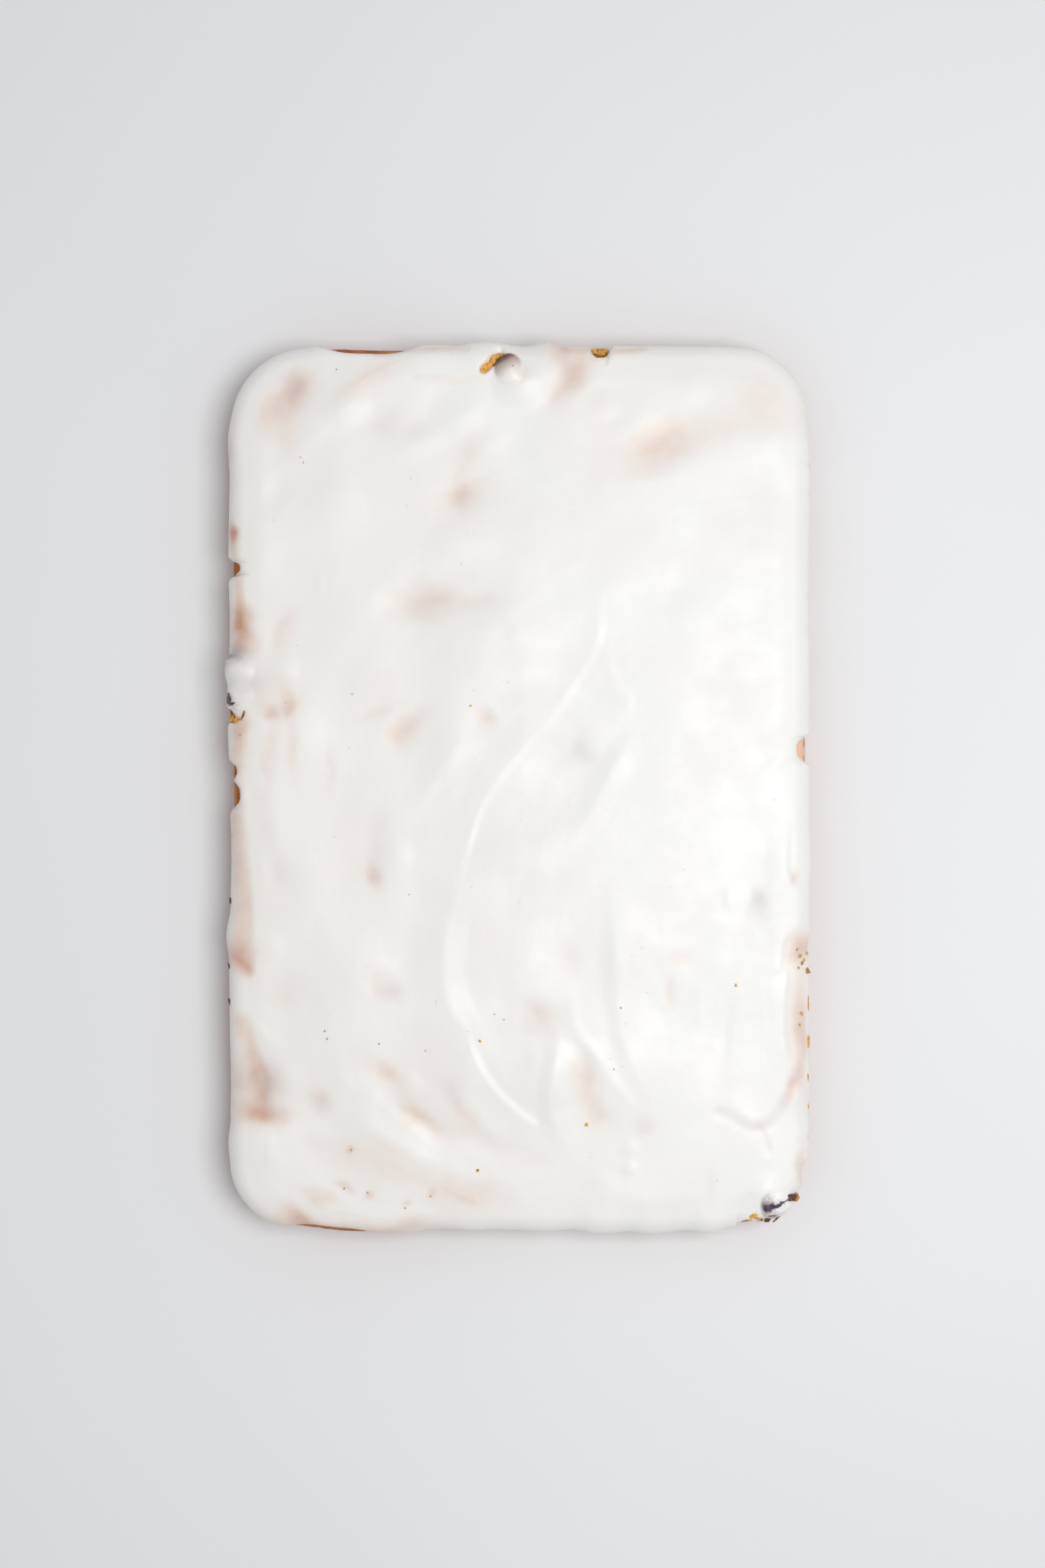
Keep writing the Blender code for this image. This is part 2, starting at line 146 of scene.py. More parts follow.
# What shows through strays from its plain shape: distance, scale and first layer of each
# noise. Its strength is uneven, with faint clouds. Last comes painted shade: a faint darkening
# that grows towards the lower left, away from the window, its strength, its way and the two
# places along that way between which it grows.
STRAY = ((3.0, 11.0, 31.5), (0.7, 4.0, 34.5))
BAND_STRAY = 0.3
UNEVEN = 0.3
UNEVEN_SCALE = 6.0 * MM
CLOUDS = 0.05
CLOUD_SCALE = 33.0 * MM
FALLOFF_SHADE = 0.03
FALLOFF_SHADE_WAY = np.array((1.0, 0.3))
FALLOFF_SHADE_CHANGE = (60.0 * MM, -90.0 * MM)

# The film over a berry that breaks the surface: the depth that hides the berry, its
# crumples, height and scale of each layer that makes its cracks ragged, the fillet round
# the berry, and the heights over the icing between which the berry comes to show.
BERRY_FADE = 0.32 * MM
SEEN_STRENGTH = 2.6
BARE = -0.15 * MM
NEAR_BERRY = 2.0
CRUMPLE = 0.25
CRUMPLE_SCALE = 2.2 * MM
RAGGED = ((0.9, 0.9), (0.5, 2.0))
FILLET = 1.5 * MM
FILLET_GAIN = 2.2
FILLET_START = 0.2
OVER_BAND = (-0.6 * MM, 0.5 * MM)
# Colour only, partly painted shade: the berry's colour is kept to a band of its rim on the side away
# from the window, and hidden more and more past a start towards the window.
SHADED_RIM_BAND = (-0.78, -0.35)
LIT_SIDE_VEIL_START = -0.5

# Lumps: how finely each kind is divided and how rough it is, then how a step of the seed
# shifts their noise, and that noise's coarse and fine scale.
TORN_LUMP = (3, 0.62)
LOOSE_LUMP = (2, 0.6)
ZEST_LUMP = (2, 0.5)
LUMP_SHIFT = Vector((3.7, 1.3, 2.1))
LUMP_COARSE = 1.4
LUMP_FINE = 4.0
LOOSE_SHAPE = np.array((1.0, 0.8, 0.6))
LOOSE_TURN = 50
LOOSE_BROWN = (0.0, 0.35, 0.1)

# Zest: half sizes, how deep it sinks, how far it keeps from the edge, and how much more of
# it lies towards the lower left.
ZEST_COUNT = 70
ZEST_SEED = 12
ZEST_LENGTHS = (0.35, 0.9)
ZEST_WIDTHS = (0.25, 0.4)
ZEST_HEIGHT = 0.16
ZEST_SUNK = np.array((0.0, 0.0, 0.08)) * MM
ZEST_MARGIN = 6.0 * MM
ZEST_SHARE = 0.5
ZEST_LEAN = np.array((-0.22, -0.28))

# Colours. A tint is what is left of white light that passed through the icing and back.
ICING_WHITE = (0.93, 0.925, 0.905)
CRUMB_TINT = (0.690, 0.410, 0.310)
BERRY_TINT = (0.368, 0.341, 0.380)
CRUST_GOLD = (0.54, 0.186, 0.027)
CRUST_BROWN = (0.34, 0.098, 0.012)
CRUST_PORE = (0.16, 0.045, 0.008)
CRUST_FILM = (0.92, 0.62, 0.43)
CRUMB_GOLD = (0.80, 0.36, 0.045)
CRUMB_LIGHT = (0.88, 0.54, 0.13)
CRUMB_PORE = (0.42, 0.13, 0.012)
BURNT = (0.055, 0.020, 0.018)
BURNT_LIGHT = (0.19, 0.075, 0.045)
BURNT_PORE = (0.03, 0.012, 0.010)
SKIN_DARK = (0.040, 0.018, 0.030)
SKIN_BLOOM = (0.115, 0.090, 0.150)
SKIN_RED = (0.10, 0.022, 0.026)
ZEST_COLOURS = ((0.90, 0.84, 0.55), (0.92, 0.89, 0.74))
FLOOR_COLOURS = ((0.85, 0.865, 0.89), (0.87, 0.88, 0.90))
FLOOR_HALF = 3.0

# The room's even light, one window, and the camera that looks straight down.
ROOM_COLOUR = (0.97, 0.98, 1.0)
ROOM_STRENGTH = 0.474
WINDOW_COLOUR = (1.0, 0.99, 0.97)
WINDOW_ENERGY = 6.9
WINDOW_SIZE = 0.55
WINDOW_PLACE = (0.34, 0.0, 1.12)
CAMERA_PLACE = (1.2 * MM, 1.5 * MM, 941.0 * MM)
LENS = 50.0
SENSOR_WIDTH = 36.0

# Where the slab's side stands in (-) or out (+) from the tin's outline:
# place on the level top's outline, radius, amount.
OUTLINE_CHANGES = (
    (104, -170, 26, -2.6), (-106, 174, 30, -3.2), (-115, 146, 18, 1.2), (112, 164, 32, -1.6),
    (-66, -179, 30, 2.4), (56, -179, 22, 1.0),
)

# Where the icing stops short (-) or runs further down (+):
# place on the level top's outline, half width along it, change in reach.
EDGE_CHANGES = (
    (-64, 180, 28, -8.0), (34, 180, 5, -8.0), (26, 180, 17, -3.5), (-13, 180, 13, 6.0),
    (-116, 92, 4.8, -8.9), (-116, 30, 4, -6.5), (-116, 7, 5, -7.5), (-116, -3, 8, -8.5),
    (-116, -62, 13, 5.0), (116, 16, 7.5, -9.6), (116, -70, 9, -4.0), (-79, -180, 27, -7.5),
    (22, -180, 24, 4.0), (95, -177, 5, -7.0), (113, -160, 5, -6.0),
)

# Where the icing is thick on the shoulder: place on the level top's outline, half width
# along it, extra depth.
EDGE_BULGES = (
    (-13, 180, 14, 1.9), (12, 180, 9, 1.8), (-83, 180, 9, 0.5), (-116, 48, 9, 0.9),
    (-116, -62, 11, 1.3), (-113, -150, 10, 0.9), (10, -180, 14, 0.8), (34, -180, 13, 2.0),
    (56, -180, 8, 0.8), (79, -180, 10, 1.6), (-45, -180, 12, 0.8), (-20, -180, 9, 0.5),
    (116, -30, 12, 0.5), (116, -130, 10, 0.5),
)

# Lines left by the spatula: height, width on the left and on the right of the line's
# direction, then the line's points.
STROKES = (
    (0.40, 2.0, 12, ((34, 79), (33, 62), (24, 45), (12, 28))),
    (0.34, 2.6, 10, ((12, 28), (0, 15), (-15, -6), (-23, -28), (-27, -45))),
    (1.05, 10, 15, ((-26, -44), (-31, -60), (-32, -78), (-29, -92), (-22, -103))),
    (0.5, 2.6, 10, ((-23, -100), (-18, -115), (-10, -127), (2, -138), (17, -147))),
    (0.5, 6, 9, ((-24, 20), (-34, 6), (-44, -10))),
    (0.5, 8, 6, ((47, 22), (38, 6), (31, -8), (24, -20))),
    (0.42, 2.6, 8, ((22, -85), (24, -100), (34, -114), (45, -130), (53, -136))),
    (1.2, 10.5, 6, ((16.5, -104), (15, -116), (13, -128), (14, -140), (20, -149))),
    (0.65, 18, 6, ((38.5, -44), (39.5, -62), (41, -92), (45.5, -112), (54, -129))),
    (0.65, 2.2, 9, ((112, -18), (111.5, -35), (116, -44), (116, -58), (110.5, -63), (108.5, -75))),
    (0.7, 2.2, 9, (
        (108.5, -75), (111.5, -79), (110.5, -90), (110.5, -106), (114, -115), (119, -112),
    )),
    (0.5, 3.5, 9, ((117.5, -117), (111, -133), (104, -140), (96, -141), (84, -135))),
    (0.8, 8, 11, ((-18, 185), (-42, 180), (-61, 173), (-74, 163), (-85, 153))),
    (0.5, 10, 9, ((-73, -137), (-45, -160), (0, -181))),
    (0.4, 2.5, 6, ((-77, -119), (-69, -126))),
    (0.4, 5, 5, ((-98, -172), (-74, -175), (-50, -179), (-24, -183))),
    (0.35, 2, 2, ((-83.5, 90), (-83.5, 81))),
    (0.2, 3, 3, ((45, 40), (46, 33))),
    (0.15, 3, 5, ((36, 55), (41, 42), (46, 31))),
    (0.35, 3, 4, ((117, 18), (109, 11), (100, 6))),
    (0.22, 16, 8, ((-107, -2), (-104, -18), (-99, -36))),
    (0.35, 2.5, 6, ((-112, -96), (-106, -104), (-99, -108))),
    (0.4, 8, 2.4, ((-104.5, -143), (-105, -160))),
    (-0.45, 6, 6, ((-49, -135), (-30, -146), (-7, -149))),
    (0.5, 8, 8, ((-96, 138), (-80, 152), (-62, 169))),
    (0.45, 8, 8, ((-62, 134), (-38, 147), (-13, 163))),
    (0.4, 7, 10, ((-84, -124), (-60, -143), (-30, -158), (0, -166))),
    (0.35, 3, 6, ((-101, 62), (-95, 73))),
    (-0.4, 8, 8, ((-118, 128), (-108, 118), (-96, 130))),
    (0.3, 6, 8, ((75, -80), (76, -104))),
    (-0.3, 4, 4, ((88, -84), (86, -103), (84, -118))),
    (0.3, 8, 10, ((100, -70), (102, -110), (96, -128))),
    (0.15, 1.2, 3, ((87, -41), (88, -51))),
)

# Rounded swellings in the icing (+) and hollows (-): centre, radius, height.
MOUNDS = (
    (104, -48, 10, 0.6), (12, -120, 17, 1.1), (9.4, -96.9, 1.4, 0.25), (46, -151, 5, 0.4),
    (46, -159, 4, 0.5), (35, -168, 9, 0.4), (105, -173, 14, 1.4), (0.5, 169.5, 14, 2.6),
    (90, -46, 8, 0.4), (-112, -149, 11, 0.9), (58, -75, 22, 0.3), (-118, 48, 9, 0.7),
    (-115, -122, 18, -1.3), (-88, -34, 16, 0.5), (-52, -28, 10, 0.4), (-46, -124, 7, 0.5),
    (-64, -132, 9, 0.4), (-80, 120, 20, 0.4), (-72, 158, 12, 0.6), (-24, 157, 14, 0.5),
    (-30, 100, 12, 0.4), (-20, 62, 16, 0.5), (36, 160, 8, 0.4), (72, 167, 10, 0.4),
    (71, 73, 13, 0.5), (92, 50, 10, 0.15), (-98, 50, 8, 0.5), (-104, -67, 8, 0.5),
)

# Places where the icing lies thin and the slab shows through: centre, half length, half
# width, turn in degrees, how strongly the crumb shows, loss of depth. One also paints shade
# beside the top berry.
THIN_PLACES_AND_SHADE = (
    (-96, 164, 11, 8, 40, 0.36, 1.0),
    (-105, 156, 9, 6, 90, 0.13, 0.5),
    (-97, 149, 10, 5.5, 95, 0.12, 0.4),
    (-121, 141, 9, 2.8, 88, 0.20, 0.3),
    (-63, 171.5, 14, 6, 35, 0.17, 0.9),
    (25, 177, 8, 5.5, 70, 0.24, 0.8),
    (18, 168, 9, 5.5, 60, 0.22, 0.8),
    (16, 180, 6, 4, 120, 0.25, 0.4),
    # Partly painted shadow: a darker patch in the shallow groove at the top berry's lower right.
    (1, 172.5, 4.5, 2.6, 25, 0.13, 0.3),
    (59, 144, 13, 9, 25, 0.17, 0.9),
    (56, 141, 18, 9, 20, 0.10, 0.4),
    (85, 150, 30, 9, 10, 0.10, 0.3),
    (101, 164, 15, 12, -30, 0.11, 0.2),
    (33, 152, 15, 24, 0, 0.06, 0.3),
    (-24, 122.5, 6, 5, 0, 0.19, 0.7),
    (-24, 122, 11, 8, 30, 0.08, 0.3),
    (-22, 140, 12, 4, 60, 0.09, 0.3),
    (-37, 78, 17, 6.5, 3, 0.11, 0.9),
    (-38, 77, 20, 8, 0, 0.07, 0.4),
    (-14, 79, 10, 3.5, 0, 0.04, 0.2),
    (-58, 154, 8, 6.5, 35, 0.10, 0.5),
    (-43.5, 150, 7, 5, 20, 0.08, 0.4),
    (-50.5, 22, 6.5, 5.5, 60, 0.17, 0.7),
    (-47, 27, 8, 4, 30, 0.08, 0.3),
    (-62, 31, 9, 2.5, 18, 0.08, 0.2),
    (-15, 29, 4.8, 3.6, -50, 0.16, 0.5),
    (-98, 34.5, 4.2, 3.0, 90, 0.27, 0.6),
    (-104.5, 32, 3.6, 2.8, 60, 0.30, 0.6),
    (-99, 38, 8, 8, 0, 0.10, 0.2),
    (-104.5, 14, 12, 2.5, 88, 0.14, 0.2),
    (-95, 15, 13, 3.0, 92, 0.12, 0.2),
    (-80, 8, 10, 2.0, 92, 0.07, 0.2),
    (-98.5, 65, 9, 3.6, 62, 0.14, 0.4),
    (-61.5, -37, 6, 3, 112, 0.17, 0.6),
    (-60, -18, 14, 5, 80, 0.05, 0.3),
    (9.4, -96.9, 8, 7.5, 0, 0.15, 0.3),
    (24, 14, 6, 5, 0, 0.08, 0.2),
    (28, -124, 13, 4.6, 100, 0.20, 0.9),
    (34, -139, 6, 5, 0, 0.14, 0.5),
    (21, -72, 8, 4, 100, 0.09, 0.2),
    (50, -142, 4, 3.5, 0, 0.12, 0.3),
    (-57, -83, 8, 4.5, -40, 0.11, 0.5),
    (-55.3, -119.7, 5.5, 3.6, -20, 0.22, 0.6),
    (-45.3, -136, 5.2, 3.8, -25, 0.22, 0.6),
    (-37, -143, 10, 3, -42, 0.13, 0.5),
    (-23, -136.5, 12, 3.6, -48, 0.15, 0.5),
    (-85, -130, 5.5, 5.5, 0, 0.12, 0.3),
    (-70.8, -151.5, 1.8, 1.6, 0, 0.36, 0.2),
    (-55, -151, 10, 3, -30, 0.10, 0.3),
    (-24, -170, 12, 5, -8, 0.16, 0.4),
    (-73.5, -167, 3.4, 2.2, 0, 0.26, 0.2),
    (-63.5, -168.3, 2.2, 1.8, 0, 0.26, 0.2),
    (-47, -173.4, 1.8, 1.5, 0, 0.24, 0.2),
    (-37, -170, 2.0, 1.5, 80, 0.20, 0.2),
    (-85, -171, 8, 2.5, -20, 0.18, 0.2),
    (-60, -158, 26, 9, -14, 0.06, 0.2),
    (-97, -85, 9, 8, 0, 0.07, 0.3),
    (-117, 69, 6, 4, 90, 0.70, 0.8),
    (-116, 62, 6, 5, 90, 0.30, 0.4),
    (-118.5, 106, 3, 1.8, 100, 0.75, 0.5),
    (-116, 24, 6, 3.5, 90, 0.45, 0.4),
    (-117, 14, 9, 4, 90, 0.24, 0.4),
    (-117, -70, 7, 6, 90, 0.30, 0.7),
    (-115, -74, 5, 2.6, -50, 0.30, 0.4),
    (-110, -124, 14, 8, 105, 0.20, 0.5),
    (-113, -136, 7, 5, 0, 0.38, 0.8),
    (-105, -137, 8, 4, 0, 0.26, 0.6),
    (-80, -184, 24, 4.0, -3, 0.42, 0.6),
    (-92, -180, 9, 3.6, -22, 0.42, 0.6),
    (-55, -183, 22, 4, 0, 0.20, 0.3),
    (62.5, -85, 6, 2.4, 95, 0.13, 0.2),
    (66, -71.5, 5, 1.8, 8, 0.13, 0.2),
    (79.5, -168, 8, 2.5, 90, 0.08, 0.2),
    (115.3, -37.7, 3.6, 1.8, 95, 0.20, 0.3),
    (117.5, -68, 7, 4.5, 80, 0.50, 0.8),
    (116.5, -96, 15, 3.6, 90, 0.34, 0.7),
    (119, -110, 16, 2.2, 90, 0.22, 0.5),
    (119, -160, 8, 2, 95, 0.30, 0.3),
    (115, -124, 7, 2.2, 62, 0.26, 0.4),
)

# Long thin places beside an edge or a ridge: how strongly the crumb shows, loss of depth,
# width to the left and to the right, then the points of the line. Some darken a valley beside
# a ridge as painted shade.
THIN_BANDS_AND_SHADE_LINES = (
    (0.26, 0.3, 2.6, 2.6, ((-119.7, 111), (-118, 96), (-116.8, 80), (-117.5, 68))),
    (0.28, 0.3, 5.0, 6.0, ((-120, 2), (-118, -20), (-116, -42), (-114.6, -62), (-114.3, -76))),
    (0.24, 0.4, 5.0, 6.0, ((-116, -98), (-112, -110), (-108, -124), (-106, -137))),
    (0.20, 0.2, 1.6, 3.0, ((-60, 182), (-40, 183), (-22, 183))),
    (0.22, 0.2, 1.8, 3.0, ((18, 183), (34, 183), (52, 183))),
    # Partly painted shade: darkens the soft grey valley beside the ridge along the same line.
    (0.07, 0.5, 3.5, 4.5, ((117.5, -118), (112, -131), (105, -140), (97, -142), (84, -136))),
    (0.03, 0.3, 3.0, 3.0, ((100, -142), (104, -152))),
    # Partly painted shade: the grey shaded slope beside the low ridge on the left.
    (0.05, 0.3, 7, 6, ((-109.5, -3), (-106.5, -18), (-102, -36))),
    (0.035, 0.25, 8, 8, ((-68, -112), (-45, -133), (-18, -148), (8, -156))),
    (0.035, 0.2, 7, 9, ((-88, -150), (-58, -157), (-30, -166), (-5, -172))),
    # Only painted shade, with no loss of depth: a dark line under the roll along the top edge.
    (0.07, 0.0, 3.5, 3.5, ((-43, 171.5), (-30, 170.5), (-17, 171.5))),
)

# Berries lying just under the icing: centre, radius, how strongly they show. The last two
# rows are no berries but broad painted shade, darkening the middle of the cake.
SUNK_BERRIES_AND_SHADE = (
    (-94.5, 166, 7, 0.16), (22, 174, 7, 0.05), (-24, 122.5, 5, 0.10), (-37, 78, 10, 0.06),
    (-55, -84, 7, 0.08), (-28, -125, 7, 0.06), (-85, -130, 6, 0.08), (-108, -124, 10, 0.13),
    (103, -48, 6.5, 0.13), (102, -47, 3, 0.08), (26, 15, 8, 0.07), (3, -8, 9, 0.05),
    (9.4, -96.9, 6, 0.07), (-118, 58, 4.5, 0.45), (-122, 55.5, 2.0, 0.55), (-111, 44, 8, 0.11),
    # The last two rows here are broad painted shade.
    (-61.5, -37, 4, 0.10), (112, -131, 8, 0.06), (2, 30, 36, 0.035), (14, -40, 26, 0.03),
)

# Berries that break the surface: centre, radius.
BERRIES = {
    "berry_top": (-4.6, 174.9, 27.4, 6.8),
    "berry_left_upper": (-117.0, 50.6, 23.6, 6.4),
    "berry_left_lower": (-117.0, 37.4, 23.6, 6.0),
    "berry_corner": (105.6, -173.4, 24.6, 7.2),
}

# The icing over each of those: depth over its middle, gain in depth towards the thick side,
# how much more it hides the berry's colour away from the berry's rim and towards the thick
# side, the way to that side in degrees, and how brown and how blue the berry looks through it.
# The thick side faces the window, and that extra hiding is colour only, so it is partly painted
# shade: the berry's dark colour is kept to its rim on the side away from the light.
BERRY_FILMS = {
    "berry_top": (0.09, 0.04, 0.42, 1.0, -62, 0.66, 0.72),
    "berry_left_upper": (1.10, 0.20, 0.0, 1.6, -60, 0.0, 1.0),
    "berry_left_lower": (1.00, 0.20, 0.0, 1.6, 50, 0.0, 1.0),
    "berry_corner": (0.72, 0.25, 0.0, 1.2, 15, 0.12, 0.92),
}

# Cracks in the icing over the berries: half width, depth, points.
FILM_CRACKS = (
    (1.1, 1.25, ((103.4, -177.2), (105.6, -176.4), (108.4, -175.4), (112.2, -173.4))),
    (2.8, 0.34, ((99.6, -177.0), (104.4, -176.2), (109.4, -174.6))),
    (0.9, 0.72, ((105.0, -179.6), (107.6, -178.8), (109.6, -178.0))),
    (0.7, 2.60, ((-122.4, 41.6), (-121.9, 39.2), (-121.2, 36.6))),
    (0.7, 2.60, ((-121.8, 40.6), (-119.8, 39.2), (-120.2, 36.8))),
    (1.5, 2.60, ((-120.8, 37.0), (-119.8, 35.0), (-119.2, 33.0))),
    (2.4, 0.80, ((-120.8, 37.8), (-119.4, 34.6))),
    (1.4, 0.50, ((-122.6, 56.4), (-120.6, 55.6), (-118.0, 55.8))),
)

# Splits in the icing with torn crumb in them: half width, points.
SPLITS = (
    (2.4, ((-15.0, 175.2), (-12.8, 177.2), (-10.0, 180.0), (-8.4, 181.2))),
)

# Torn crumb: place, height of its middle over the icing there, half sizes along, across
# and up, turn in degrees, and how brown it is.
CRUMB_LUMPS = (
    (-14.2, 175.8, 0.5, 2.5, 2.0, 1.5, 20, 0.05),
    (-12.6, 177.4, 0.4, 1.4, 1.3, 1.3, 10, 0.0),
    (-10.4, 179.4, 0.6, 2.5, 1.7, 1.4, 35, 0.0),
    (-8.4, 180.9, 0.3, 1.7, 1.1, 1.2, 20, 0.1),
    (-120.6, 30.8, 0.4, 0.9, 2.3, 0.9, -15, 0.15),
    (-119.0, 29.0, 0.3, 1.4, 1.9, 1.0, 20, 0.1),
    (-117.2, 28.3, 0.3, 1.0, 1.7, 0.9, -30, 0.15),
    (-115.0, 30.4, 0.2, 0.45, 2.0, 0.7, -20, 0.8),
    (-120.3, 31.8, 0.9, 0.3, 1.3, 0.5, 15, 0.9),
    (-119.2, 30.2, 1.0, 0.3, 1.1, 0.5, -20, 0.8),
    (-117.4, 29.8, 0.9, 0.3, 1.2, 0.5, 10, 0.85),
    (-118.4, 27.4, 0.7, 0.8, 0.3, 0.4, 0, 0.7),
    (-120.8, 28.2, 0.7, 0.7, 0.3, 0.4, 10, 0.6),
    (-116.2, 28.6, 0.5, 0.7, 0.4, 0.4, 50, 0.3),
    (98.2, -180.2, 0.4, 1.4, 1.1, 1.0, 30, 0.0),
    (99.9, -181.4, 0.3, 1.2, 0.6, 0.7, -25, 0.1),
    (101.2, -181.8, 0.2, 1.2, 0.6, 0.6, -15, 0.75),
    (96.6, -183.4, 0.2, 0.8, 0.4, 0.4, 10, 0.35),
    (113.8, -171.6, 0.6, 2.2, 1.6, 1.3, 15, 1.0),
    (116.2, -172.4, 0.6, 1.8, 1.5, 1.2, 60, 0.5),
    (112.0, -173.2, 0.5, 1.0, 0.7, 0.7, 30, 1.0),
    (104.3, -181.9, 0.5, 1.4, 1.0, 0.9, 20, 1.0),
    (107.4, -180.2, 0.5, 2.0, 0.4, 0.6, 40, 0.9),
    (121.2, -106.7, 0.1, 0.7, 2.3, 0.9, 0, 0.0),
    (119.6, -77.0, 0.2, 1.1, 1.3, 0.8, 20, 0.5),
    (117.4, -73.6, 0.1, 0.7, 0.8, 0.6, 0, 0.45),
    (116.6, -70.6, 0.1, 1.0, 0.6, 0.5, 30, 0.15),
    (115.8, -67.8, 0.1, 0.6, 0.4, 0.4, 60, 0.1),
    (116.2, -75.4, 0.1, 0.4, 0.7, 0.4, 15, 0.2),
    (118.2, -72.2, 0.1, 0.4, 0.8, 0.4, 0, 0.2),
    (119.4, -69.6, 0.1, 0.6, 0.8, 0.5, 0, 0.15),
    (117.4, -94.6, 0.1, 0.6, 0.9, 0.5, 20, 0.2),
    (116.8, -99.4, 0.1, 0.5, 0.6, 0.4, 0, 0.3),
    (120.8, -122.0, 0.1, 0.3, 1.5, 0.4, 0, 0.15),
    (120.6, -134.0, 0.1, 0.3, 1.0, 0.4, 0, 0.2),
    (120.8, -90.0, 0.1, 0.3, 3.4, 0.4, 2, 0.2),
    (34.0, 182.9, 0.5, 2.5, 1.3, 0.9, 5, 0.30),
    (31.6, 183.2, 0.5, 1.3, 1.1, 0.8, 60, 0.20),
    (36.2, 183.0, 0.5, 0.9, 1.0, 0.8, 30, 0.45),
    (-122.0, -47.7, 0.3, 0.4, 1.4, 0.5, 0, 1.0),
    (-122.0, -75.0, 0.3, 0.35, 1.3, 0.4, 10, 1.0),
    (-122.0, -90.0, 0.3, 0.4, 1.3, 0.5, 10, 1.0),
)

# Crumbs lying loose on the icing: place and size across.
LOOSE_CRUMBS = (
    (28, -141, 1.7), (-17.5, -160, 1.5), (90.4, -82.7, 1.4), (-16.6, -105.8, 1.4),
    (-81.5, -101.7, 1.1), (-80.4, -105, 1.1), (-91.6, 138, 0.9), (-76.5, 174.4, 0.8),
    (-90.4, 136, 0.8), (-20.6, 34.2, 1.1), (-58.8, -107, 0.9), (-39.4, -110, 0.9),
    (39.3, -117.6, 0.9), (42.3, -92, 0.9), (-10.5, -94.7, 0.8), (-6.6, -96.9, 0.8),
    (-73.4, -167.4, 1.0), (-63.6, -168.8, 1.0), (-47.9, -175.1, 0.9), (-37.2, -171, 0.8),
    (-70.4, -151.6, 1.1), (-46.2, -44.7, 0.7), (-70, 39, 0.8), (-116, 22, 0.8),
    (-97.8, 35.6, 0.6),
)

# Where the bare crust has a thin film of sugar: place on the level top's outline, half
# width along it, strength. Then how far it runs down, how unevenly, and how it fades there.
FILMED_CRUST = (
    (116, 16, 11, 1.0),
)
FILM_RUN = 9.0 * MM
FILM_UNEVEN = 0.5
FILM_SCALE = 2.5 * MM
FILM_FADE = (1.4, 0.6)


# ---------------------------------------------------------------- shapes on the unrolled sheet


def smooth_step(low, high, value):
    """0 up to low, 1 from high on, with a smooth rise between."""
    part = np.clip((value - low) / (high - low), 0.0, 1.0)
    return part * part * (3.0 - 2.0 * part)


def swell(share):
    """A rounded hill: 1 at 0, falling to nothing at 1."""
    return (1.0 - np.minimum(share, 1.0) ** 2) ** 2


def crest(share):
    """A hill with a sharp top: 1 at 0, falling to nothing at 1."""
    return (1.0 - np.minimum(share, 1.0)) ** CREST_POWER


def plateau(share):
    """A flat-topped hill: 1 at 0, falling to nothing at 1."""
    return (1.0 - np.minimum(share, 1.0) ** 4) ** 2


def berry_shade(share):
    """A blurred spot: 1 at 0, with a soft tail past 1."""
    return np.exp(-BERRY_FALL * share ** 2)


def hills(places, rows, profile):
    """Sum of round hills, each a centre, a radius and a height."""
    total = np.zeros(len(places))
    for x, y, radius, height in rows:
        away = np.linalg.norm(places - np.array((x, y)) * MM, axis=1)
        total += height * profile(away / (radius * MM))
    return total


def slow_noise(places, scale, layer):
    """Smooth noise between about -1 and 1, one value a place. Each layer is another noise."""
    return np.array([noise.noise((x, y, layer)) for x, y in (places / scale).tolist()])


def layered_noise(places, rows, first_layer):
    """Sum of noises, each row a height and a scale."""
    total = np.zeros(len(places))
    for index, (height, scale) in enumerate(rows):
        total += height * slow_noise(places, scale * MM, first_layer + index)
    return total


def nearest_outline(places):
    """The outline's nearest point, the way out there, and how far beyond it each place is."""
    over = np.abs(places) - (TOP_HALF - TOP_CORNER)
    in_corner = (over > 0).all(axis=1)
    away = np.where(in_corner, np.hypot(over[:, 0], over[:, 1]), over.max(axis=1))
    side_on = (over[:, 0] > over[:, 1]).astype(float)
    square = np.stack((side_on, 1.0 - side_on), axis=1)
    out = np.where(in_corner[:, None], over / np.where(in_corner, away, 1.0)[:, None], square)
    out = np.copysign(out, places)
    beyond = away - TOP_CORNER
    return places - out * beyond[:, None], out, beyond


def walk_outline(count):
    """Evenly spaced points of the level top's outline."""
    corners = (TOP_HALF - TOP_CORNER) * ((1, 1), (-1, 1), (-1, -1), (1, -1))
    straights = np.resize(2 * corners[0, ::-1], 4)
    starts = np.append(0.0, np.cumsum(straights + TOP_CORNER * math.pi / 2))
    walked = (np.arange(count) + 0.5) * starts[-1] / count
    quarter = np.searchsorted(starts, walked) - 1
    to_corner = straights[quarter] - (walked - starts[quarter])
    turned = quarter * math.pi / 2 + np.maximum(-to_corner, 0.0) / TOP_CORNER
    out = np.stack((np.cos(turned), np.sin(turned)), axis=1)
    back = np.stack((out[:, 1], -out[:, 0]), axis=1)
    return corners[quarter] + TOP_CORNER * out + np.maximum(to_corner, 0.0)[:, None] * back


def outline_wander(foot):
    """How far the slab's side stands out from the tin's outline."""
    changes = MM * hills(foot, OUTLINE_CHANGES, swell)
    return WANDER * slow_noise(foot, WANDER_SCALE, 0.5) + changes


